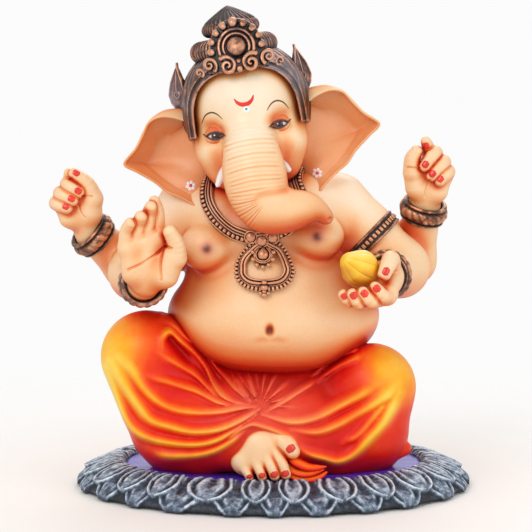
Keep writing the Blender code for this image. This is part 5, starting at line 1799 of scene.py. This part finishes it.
def make_modak(paint):
    """Steamed sweet: a ball drawn up to a peak, with pleats running down from it."""
    peak = unit(vec(-0.72, -0.42, 0.5))
    side = unit(np.cross(peak, vec(0, 0, 1)))
    up = np.cross(peak, side)
    segments, rows = 192, 70
    turn = np.arange(segments) * math.tau / segments
    rings = []
    for k in range(1, rows):
        tilt = math.pi * (1 - k / rows)
        s = math.sin(tilt)
        along = -math.cos(tilt)
        pointed = smoothstep(0.35, 1.0, -along * -1.0)
        length = 2.35 * along + 0.55 * pointed * abs(along)
        phase = turn * 4.5 + 0.5 * along
        pleat = np.abs(np.sin(phase)) ** 0.6
        fade = min(1.0, s * 2.0) * smoothstep(-0.75, 0.3, along)
        radius = 2.4 * s * (1 - 0.35 * pointed * s) * (1 - 0.075 * fade * (1 - pleat))
        rings.append(np.outer(np.cos(turn) * radius, side) + np.outer(np.sin(turn) * radius, up) + peak * length)
    grid = np.array(rings) + vec(10.6, -11.75, 29.5)
    bundle = Bundle()
    bundle.add(*stacked(grid))
    bundle.piece("modak_sweet", paint, "modak_paint", ("modak",))


# ---------------------------------------------------------------- plinth

PETALS = 24


def make_plinth(slate):
    """Oval lotus plinth: an upper row of rounded petals over a lower row that shows between."""
    segments = 1320
    rows = 84
    turn = np.arange(segments) * math.tau / segments
    profile = curve(((0.0, 3.0), (0.5, 3.15), (1.6, 2.95), (3.4, 2.35), (4.9, 1.6), (5.7, 0.95), (5.9, 0.5), (5.5, 0.25)), 14)
    run = np.concatenate(((0.0,), np.cumsum(np.linalg.norm(np.diff(profile, axis=0), axis=1))))
    run = run / run[-1]
    share = np.linspace(0, 1, rows)
    out, height = np.interp(share, run, profile[:, 0]), np.interp(share, run, profile[:, 1])
    jitter = 0.10 * np.sin(turn * 5 + 1) + 0.08 * np.sin(turn * 9 + 2)
    upper = (turn / math.tau * PETALS + jitter) % 1.0 * 2 - 1
    lower = (turn / math.tau * PETALS + jitter + 0.5) % 1.0 * 2 - 1
    b = share[:, None]

    def petal(a, root, tip, wide):
        """Height of one row of petals: rounded tongues with a raised lip and a U-shaped groove."""
        v = (b - root) / (tip - root)
        width = wide * np.sqrt(np.clip(1 - np.clip(v, 0, 1.05) ** 3.2, 0, 1)) * (0.72 + 0.28 * np.clip(v * 2, 0, 1))
        inset = width - np.abs(a)[None]
        inside = smoothstep(-0.02, 0.06, inset) * (v < 1)
        lip = np.exp(-(((inset - 0.12) / 0.085) ** 2))
        groove = np.exp(-(((inset - 0.3) / 0.07) ** 2)) * smoothstep(0.95, 0.7, v)
        ridge = np.exp(-(((inset - 0.5) / 0.08) ** 2)) * smoothstep(0.82, 0.6, v)
        pit = np.exp(-((a[None] / 0.16) ** 2)) * smoothstep(0.62, 0.4, v)
        bulge = np.clip(1 - (a[None] / np.maximum(width, 0.05)) ** 2, 0, 1)
        rise = 0.34 + 0.26 * bulge * np.clip(v, 0, 1) + 0.3 * lip
        bright = inside * np.clip(0.26 + 0.2 * bulge + 0.62 * lip + 0.45 * ridge - 0.4 * groove - 0.3 * pit, 0, 1)
        return inside, rise - 0.26 * groove + 0.24 * ridge - 0.22 * pit, bright

    inside_up, rise_up, bright_up = petal(upper, 0.03, 0.78, 0.93)
    inside_low, rise_low, bright_low = petal(lower, 0.3, 0.98, 0.96)
    bright = np.where(inside_up > 0.5, bright_up, 0.75 * bright_low)
    under = inside_low * rise_low * 0.75
    rise = np.where(inside_up > 0.01, inside_up * (rise_up + 0.22) + (1 - inside_up) * under * 0.6, under)
    rise = rise * smoothstep(0.0, 0.1, b) * smoothstep(1.0, 0.93, b)
    tip = np.cos(lower * math.pi)[None] * 0.28 * smoothstep(0.6, 0.95, b) + np.cos(upper * math.pi)[None] * 0.1
    c, s = np.cos(turn)[None], np.sin(turn)[None]
    inner = np.stack([19.15 * c, 13.45 * s], -1)
    spread = np.stack([c * 25.05 / 25.05, s], -1)
    spread = unit(spread * vec(13.45, 19.15))
    slope_out = np.gradient(out)
    slope_up = np.gradient(height)
    size = np.hypot(slope_out, slope_up)
    normal_out, normal_up = (-slope_up / size)[:, None], (slope_out / size)[:, None]
    outward = out[:, None] + tip + normal_out * rise * 0.8
    place = inner + spread * np.clip(outward, 0, 6.25)[..., None]
    z = np.clip(height[:, None] + normal_up * rise * 0.8, 0.2, 3.6)
    grid = np.concatenate((place, z[..., None]), -1)
    grain = noise(grid.reshape(-1, 3), 0.5).reshape(z.shape) * 0.045 + noise(grid.reshape(-1, 3), 0.22).reshape(z.shape) * 0.025
    grid[..., 2] += grain * smoothstep(0.0, 0.1, b) * smoothstep(1.0, 0.9, b)
    grid = grid[::-1]
    bright = bright[::-1]
    foot = grid[0].copy()
    foot[:, :2] *= 0.985
    foot[:, 2] = 0.2
    well = grid[-1].copy()
    well[:, 2] = 2.62
    centre_ring = well * vec(0.5, 0.5, 1)
    full = np.concatenate((foot[None], grid, well[None], centre_ring[None]))
    crest = np.concatenate((bright[:1] * 0, bright, bright[:1] * 0, bright[:1] * 0))
    points, faces = stacked(full)
    masks = {"crest": np.concatenate((crest.reshape(-1), (0, 0)))}
    add_piece("lotus_plinth_slate", points, faces, slate, ("lotus_plinth",), None, masks)


def make_seat(violet):
    segments = 256
    turn = np.arange(segments) * math.tau / segments
    levels = ((18.95, 13.25, 2.64), (18.98, 13.28, 2.86), (18.8, 13.1, 3.0), (18.5, 12.8, 3.04), (14.0, 9.6, 3.03), (4.0, 3.0, 3.02))
    rings = [np.stack([a * np.cos(turn), b * np.sin(turn), np.full(segments, z)], -1) for a, b, z in levels]
    points, faces = stacked(np.array(rings))
    add_piece("seat_disc_violet", points, faces, violet, ("seat_disc",))


# ---------------------------------------------------------------- face


def eye_starts(x, z, path, wide):
    """Start places for a stroke that follows a path on the face, wide at its middle."""
    line = curve([(x + a, z + b) for a, b in path], 6)
    along = unit(np.gradient(line, axis=0))
    across = np.stack([-along[:, 1], along[:, 0]], -1)
    share = np.linspace(0, 1, len(line))
    width = wide * np.clip(np.sin(share * math.pi) ** 0.7, 0.12, 1)
    columns = np.linspace(-1, 1, 5)
    flat = line[:, None] + across[:, None] * (width[:, None] * columns)[..., None]
    flat3 = np.stack([flat[..., 0], np.full(flat.shape[:2], -13.0), flat[..., 1]], -1)
    return flat3.reshape(-1, 3) @ HEAD_TURN.T + HEAD_AT, flat.shape[:2]


def stroke(tree, path, wide, half=0.035, origin=(0.0, 0.0)):
    starts, shape = eye_starts(*origin, path, wide)
    starts = starts.reshape(*shape, 3)
    return laid(tree, starts, (0, 1, 0), np.full(shape, half))


def make_face(tree, paints):
    liner = Bundle()
    lash = Bundle()
    for side, (x, z) in zip((-1, 1), EYES):
        lid = [(side * u * 1.2, 0.24 - 0.38 * u * u + 0.07 * u) for u in (-1.0, -0.6, -0.2, 0.2, 0.6, 0.95, 1.3)]
        lid[-1] = (side * 1.6, 0.2)
        lash.add(*stroke(tree, lid, 0.15, 0.05, (x, z)))
        lower = [(side * u * 1.2, -0.55 + 0.44 * u * u) for u in (-0.95, -0.5, 0.0, 0.5, 0.95)]
        lash.add(*stroke(tree, lower, 0.12, 0.03, (x, z)))
        brow = [(side * u, v) for u, v in ((-1.2, 1.8), (-0.6, 2.5), (0.15, 2.8), (0.95, 2.45), (1.55, 1.5))]
        liner.add(*stroke(tree, brow, 0.075, 0.03, (x, z)))
    lash.piece("eye_liner", paints["lash"], "skin_paint")
    liner.piece("brow_lines", paints["brow"], "skin_paint")

    balls, irises, pupils, glints = Bundle(), Bundle(), Bundle(), Bundle()
    for x, z in EYES:
        centre = vec(x, EYE_Y + 0.62, z - 0.14)
        place = on_head(*centre)
        points, faces = orb(place, (1.16, 1.0, 1.04), around=40)
        balls.add(points, faces)
        ball_tree = tree_of(points, faces)
        # The glint is a painted highlight: a small white dot laid on each eyeball.
        for bundle, size, dx, dz, half in (
            (irises, 0.54, 0.0, -0.04, 0.02),
            (pupils, 0.26, 0.0, -0.04, 0.035),
            (glints, 0.085, -0.14, 0.1, 0.05),
        ):
            front = on_head(centre[0] + dx, -12.0, centre[2] + dz)
            starts = disc_starts(front, (1, 0, 0), (0, 0, 1), size, size, square=2.0)
            bundle.add(*laid(ball_tree, starts, (0, 1, 0), np.full((9, 9), half)))
    balls.piece("eyeballs", paints["sclera"], "tusk_paint")
    irises.piece("irises", paints["iris"], "skin_paint")
    pupils.piece("pupils", paints["liner"], "skin_paint")
    glints.piece("eye_glints", paints["white"], "tusk_paint")

    bundle = Bundle()
    arc = [(0.05 + 1.25 * math.sin(a), 3.85 - 1.25 * math.cos(a)) for a in np.linspace(-1.25, 1.35, 7)]
    bundle.add(*stroke(tree, arc, 0.24, 0.04))
    bundle.piece("forehead_crescent", paints["polish"], "skin_paint")
    bundle = Bundle()
    starts = disc_starts(on_head(0.15, -13, 2.0), (1, 0, 0), (0, 0, 1), 0.42, 0.42, square=2.0)
    bundle.add(*laid(tree, starts, (0, 1, 0), domed(9, 9, 0.06)))
    bundle.piece("forehead_dot", paints["white"], "tusk_paint")
    bundle = Bundle()
    starts = disc_starts(on_head(0.15, -13, 2.02), (1, 0, 0), (0, 0, 1), 0.18, 0.18, square=2.0)
    bundle.add(*laid(tree, starts, (0, 1, 0), domed(9, 9, 0.1)))
    bundle.piece("forehead_dot_centre", paints["teal"], "seat_paint")


def make_flower(name, tree, centre, paints):
    """Six white petals round a red eye, painted on the ear."""
    petals, heart = Bundle(), Bundle()
    for k in range(6):
        angle = math.tau * k / 6 + 0.3
        along = vec(math.cos(angle), 0, math.sin(angle))
        across = vec(-along[2], 0, along[0])
        starts = disc_starts(centre + along * 0.42, across, along, 0.2, 0.24, 7, 7, 2.2)
        petals.add(*laid(tree, starts, (0, 1, 0), domed(7, 7, 0.07)))
    starts = disc_starts(centre, (1, 0, 0), (0, 0, 1), 0.19, 0.19, 7, 7, 2.0)
    heart.add(*laid(tree, starts, (0, 1, 0), domed(7, 7, 0.09)))
    petals.piece(f"{name}_flower_petals", paints["white"], "tusk_paint")
    heart.piece(f"{name}_flower_heart", paints["polish"], "skin_paint")


def make_tusk(side, root, tip, ivory):
    root, tip = vec(*root), vec(*tip)
    middle = (root + tip) / 2 + vec(side * 0.08, -0.12, 0)
    line = curve(((*root, 0.74), (*middle, 0.62), (*tip, 0.34)), 10)
    cap = curve(((*tip, 0.34), (*(tip + (tip - middle) * 0.2), 0.1)), 4)[1:]
    line = np.vstack((line, cap))
    path = line[:, :3] @ HEAD_TURN.T + HEAD_AT
    across, up = frames(path, vec(1, 0, 0))
    bundle = Bundle()
    bundle.add(*swept(path, across, up, line[:, 3], line[:, 3], around=28))
    name = "left_tusk" if side > 0 else "right_tusk"
    bundle.piece(f"{name}_ivory", ivory, "tusk_paint", (name,))


# ---------------------------------------------------------------- other paints


def bronze_paint(name, least, most, blue):
    """Dark lacquer in the recesses, copper rubbed on the crests: least and most set how much. Blue sets how much
    blue-grey painted sheen, a painted reflection, goes over the rubbed parts.
    """
    paint = Paint(name, metallic=0.0, coat=0.2, coat_roughness=0.25)
    hollow = paint.tree.nodes.new("ShaderNodeAmbientOcclusion")
    hollow.inputs["Distance"].default_value = 0.006
    open_air = paint.math("POWER", hollow.outputs["AO"], 2.4)
    worn = paint.math("MULTIPLY", open_air, paint.range(paint.noise(55.0, 5.0, 0.65), 0.3, 0.72, least, most))
    point = paint.range(paint.pointiness(), 0.49, 0.55, 0.0, 0.5)
    worn = paint.math("ADD", worn, point, clamp=True)
    tone = paint.ramp(
        worn,
        (0.0, linear(12, 7, 8)),
        (0.4, linear(30, 18, 17)),
        (0.66, linear(66, 39, 29)),
        (0.86, linear(138, 84, 58)),
        (1.0, linear(222, 160, 120)),
    )
    # Painted reflection: the silver mask mixes a blue-grey sheen over the rubbed crests.
    silver = paint.math("MULTIPLY", worn, paint.range(paint.noise(9.0, 2.0), 0.44, 0.66, 0.0, blue), clamp=True)
    paint.set("Base Color", paint.mix(silver, tone, linear(168, 160, 172)))
    paint.set("Metallic", paint.range(worn, 0.2, 0.9, 0.15, 0.65))
    paint.set("Roughness", paint.range(paint.noise(70.0, 4.0), 0.3, 0.7, 0.3, 0.5))
    paint.bump(paint.noise(260.0, 4.0, 0.6), 0.25, 0.0008)
    return paint.material


def slate_paint():
    """Charcoal stone, brushed with silver-blue on its ridges."""
    paint = Paint("plinth_slate", coat=0.1)
    hollow = paint.tree.nodes.new("ShaderNodeAmbientOcclusion")
    hollow.inputs["Distance"].default_value = 0.012
    grit = paint.range(paint.noise(110.0, 6.0, 0.7), 0.35, 0.68, -0.25, 0.4)
    brushed = paint.math("ADD", paint.mask("crest"), grit)
    brushed = paint.math("MULTIPLY", brushed, paint.math("POWER", hollow.outputs["AO"], 1.5), clamp=True)
    tone = paint.ramp(
        brushed,
        (0.0, linear(20, 27, 38)),
        (0.25, linear(62, 76, 96)),
        (0.46, linear(120, 138, 160)),
        (0.7, linear(184, 200, 216)),
        (1.0, linear(228, 237, 244)),
    )
    paint.set("Base Color", tone)
    paint.set("Metallic", paint.range(brushed, 0.3, 1.0, 0.0, 0.35))
    paint.set("Roughness", paint.range(paint.noise(60.0, 4.0), 0.3, 0.7, 0.38, 0.62))
    paint.bump(paint.noise(220.0, 6.0, 0.7), 0.5, 0.0012)
    return paint.material


def violet_paint():
    paint = Paint("seat_violet", coat=0.5, coat_roughness=0.12)
    streak = paint.noise(1.0, 4.0, 0.6, paint.stretched(9.0, 60.0, 60.0))
    tone = paint.ramp(paint.range(streak, 0.3, 0.7), (0.0, linear(60, 36, 168)), (0.55, linear(84, 60, 222)), (1.0, linear(128, 92, 230)))
    paint.set("Base Color", tone)
    paint.set("Roughness", paint.range(paint.noise(40.0, 3.0), 0.3, 0.7, 0.2, 0.36))
    paint.bump(streak, 0.15, 0.0006)
    return paint.material


def glossy_paint(name, dark, light, roughness=0.25, scale=60.0, coat=0.5):
    """Enamel in one colour, with brushed unevenness."""
    paint = Paint(name, coat=coat, coat_roughness=0.12)
    cloud = paint.range(paint.noise(scale, 4.0, 0.6), 0.3, 0.7)
    paint.set("Base Color", paint.mix(cloud, linear(*dark), linear(*light)))
    paint.set("Roughness", paint.range(paint.noise(scale * 1.7, 3.0), 0.3, 0.7, roughness * 0.8, roughness * 1.25))
    paint.bump(paint.noise(scale * 6, 3.0), 0.12, 0.0004)
    return paint.material


def modak_paint():
    paint = Paint("modak_saffron", coat=0.35, coat_roughness=0.2)
    hollow = paint.tree.nodes.new("ShaderNodeAmbientOcclusion")
    hollow.inputs["Distance"].default_value = 0.006
    # Painted light: lighter where the surface faces up, with painted shade in the pleats' hollows.
    up = paint.tree.nodes.new("ShaderNodeSeparateXYZ")
    paint.put(up.inputs[0], paint.tree.nodes.new("ShaderNodeNewGeometry").outputs["Normal"])
    light = paint.range(up.outputs["Z"], -0.7, 0.8)
    light = paint.math("ADD", light, paint.range(paint.noise(45.0, 4.0), 0.3, 0.7, -0.12, 0.12))
    light = paint.math("MULTIPLY", light, hollow.outputs["AO"], clamp=True)
    tone = paint.ramp(light, (0.0, linear(206, 128, 10)), (0.4, linear(240, 176, 16)), (0.75, linear(252, 206, 44)), (1.0, linear(254, 224, 110)))
    paint.set("Base Color", tone)
    paint.set("Roughness", paint.range(paint.noise(60.0, 3.0), 0.3, 0.7, 0.3, 0.45))
    paint.bump(paint.noise(120.0, 5.0, 0.6), 0.2, 0.0006)
    return paint.material


def finish_frame_nodes():
    """Materials for the CAD nodes that stay: board, felt and the steel inside."""
    wood = Paint("board_ply", coat=0.1)
    grain = wood.noise(1.0, 5.0, 0.6, wood.stretched(8.0, 90.0, 90.0), distortion=0.6)
    wood.set("Base Color", wood.ramp(wood.range(grain, 0.3, 0.7), (0.0, linear(120, 84, 50)), (0.5, linear(172, 128, 82)), (1.0, linear(206, 164, 112))))
    wood.set("Roughness", wood.range(wood.noise(50.0), 0.3, 0.7, 0.55, 0.75))
    wood.bump(grain, 0.25, 0.0006)
    felt = Paint("felt_black", roughness=0.95)
    fibre = felt.noise(900.0, 5.0, 0.7)
    felt.set("Base Color", felt.ramp(felt.range(fibre, 0.35, 0.65), (0.0, linear(16, 17, 18)), (1.0, linear(52, 54, 58))))
    felt.set("Sheen Weight", 0.4)
    felt.bump(fibre, 0.6, 0.001)
    steel = Paint("steel_zinc", metallic=0.95)
    brush = steel.noise(1.0, 4.0, 0.6, steel.stretched(400.0, 400.0, 40.0))
    steel.set("Base Color", steel.ramp(steel.range(brush, 0.3, 0.7), (0.0, linear(138, 140, 146)), (1.0, linear(196, 198, 204))))
    steel.set("Roughness", steel.range(brush, 0.3, 0.7, 0.26, 0.42))
    steel.bump(brush, 0.1, 0.0003)
    kinds = (("base_board", wood), ("base_felt", felt), ("board_screw", steel), ("spine_", steel), ("_pin", steel))
    for name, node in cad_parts.items():
        for key, paint in kinds:
            if key in name:
                node.data.materials.clear()
                node.data.materials.append(paint.material)


# ---------------------------------------------------------------- studio


def make_studio():
    world = bpy.data.worlds.new("studio")
    bpy.context.scene.world = world
    world.use_nodes = True
    tree = world.node_tree
    glow = tree.nodes["Background"]
    glow.inputs["Color"].default_value = (1.0, 0.98, 0.955, 1.0)
    glow.inputs["Strength"].default_value = 0.8
    seen = tree.nodes.new("ShaderNodeBackground")
    seen.inputs["Color"].default_value = (0.97, 0.97, 0.968, 1.0)
    choose = tree.nodes.new("ShaderNodeMixShader")
    path = tree.nodes.new("ShaderNodeLightPath")
    tree.links.new(path.outputs["Is Camera Ray"], choose.inputs["Fac"])
    tree.links.new(glow.outputs[0], choose.inputs[1])
    tree.links.new(seen.outputs[0], choose.inputs[2])
    tree.links.new(choose.outputs[0], tree.nodes["World Output"].inputs["Surface"])

    floor = Paint("floor_matt", roughness=0.9)
    tone = floor.range(floor.noise(2.0, 2.0), 0.3, 0.7, 0.0, 1.0)
    floor.set("Base Color", floor.mix(tone, linear(244, 243, 241), linear(248, 247, 246)))
    middle = floor.tree.nodes.new("ShaderNodeVectorMath")
    middle.operation = "LENGTH"
    floor.put(middle.inputs[0], floor.where)
    floor.set("Alpha", floor.ramp(floor.range(middle.outputs["Value"], 0.34, 0.95), (0.0, 1.0), (1.0, 0.0)))
    mesh = bpy.data.meshes.new("floor")
    rim = [(math.cos(i * math.tau / 96), math.sin(i * math.tau / 96), -0.0005) for i in range(96)]
    mesh.from_pydata(rim, [], [tuple(range(96))])
    mesh.materials.append(floor.material)
    made = bpy.data.objects.new("floor", mesh)
    bpy.context.scene.collection.objects.link(made)

    for name, place, size, power in (
        ("key", (-1.1, -1.9, 2.0), 1.3, 19.0),
        ("fill", (1.8, -1.6, 1.2), 1.6, 10.0),
        ("back", (0.3, 1.9, 2.0), 1.4, 14.0),
    ):
        light = bpy.data.lights.new(name, "AREA")
        light.energy = power
        light.size = size
        lamp = bpy.data.objects.new(name, light)
        lamp.location = place
        lamp.rotation_euler = (Vector((0, 0, 0.3)) - Vector(place)).to_track_quat("-Z", "Y").to_euler()
        bpy.context.scene.collection.objects.link(lamp)

    lens = bpy.data.cameras.new("camera")
    lens.lens = 148.8
    camera = bpy.data.objects.new("camera", lens)
    camera.location = (-0.0095, -2.8, 0.63)
    aim = Vector((-0.0095, 0.0, 0.284)) - camera.location
    camera.rotation_euler = aim.to_track_quat("-Z", "Y").to_euler()
    bpy.context.scene.collection.objects.link(camera)
    bpy.context.scene.camera = camera
    bpy.context.scene.view_settings.view_transform = "Standard"


def build():
    paints = {
        "polish": glossy_paint("nail_red", (214, 26, 12), (246, 58, 30), 0.2),
        "liner": glossy_paint("liner_black", (22, 12, 10), (40, 22, 18), 0.3),
        "lash": glossy_paint("lash_brown", (46, 20, 18), (84, 40, 34), 0.3),
        "brow": glossy_paint("brow_olive", (58, 44, 22), (104, 82, 44), 0.4, coat=0.1),
        "sclera": glossy_paint("eye_white", (206, 198, 190), (232, 226, 220), 0.12),
        "iris": glossy_paint("iris_brown", (46, 24, 14), (92, 54, 34), 0.15, 400.0),
        "white": glossy_paint("enamel_white", (238, 236, 240), (252, 250, 252), 0.25),
        "teal": glossy_paint("enamel_teal", (20, 150, 150), (50, 190, 180), 0.25),
    }
    skin = skin_paint()
    cloth = dhoti_paint()
    bronze = bronze_paint("bronze_antique", 0.34, 0.92, 0.55)
    copper = bronze_paint("bronze_copper", 0.66, 1.2, 0.15)
    # The finials' bronze carries the most blue-grey painted sheen, a painted reflection.
    sheened = bronze_paint("bronze_painted_sheen", 0.5, 1.05, 1.0)
    sooty = bronze_paint("bronze_sooty", 0.12, 0.72, 0.3)
    gilded = bronze_paint("bronze_gilded", 0.48, 1.02, 0.15)
    make_body(skin)
    head = tree_of(*make_head(skin))
    make_face(head, paints)
    for side, name, flower in ((-1, "right_ear", (8.45, -6.8)), (1, "left_ear", (7.6, -7.7))):
        ear = tree_of(*make_ear(side, skin))
        make_flower(name, ear, on_head(side * flower[0], -12.0, flower[1]), paints)
    ivory = glossy_paint("tusk_ivory", (226, 222, 224), (250, 248, 250), 0.25, 25.0)
    make_tusk(-1, (-3.3, -5.4, -4.9), (-4.85, -7.3, -6.75), ivory)
    make_tusk(1, (2.9, -5.4, -5.3), (4.2, -7.1, -6.35), ivory)
    make_dhoti(cloth)
    make_sash(cloth)
    for name in HANDS:
        make_hand(name, skin, paints["polish"])
    make_cap(bronze)
    make_diadem(gilded)
    make_coils(sooty)
    for side in (-1, 1):
        make_finial(side, sheened)
    make_necklace(copper)
    make_pendant(copper)
    make_bangles(copper)
    make_modak(modak_paint())
    make_plinth(slate_paint())
    make_seat(violet_paint())
    finish_frame_nodes()
    make_studio()


build()
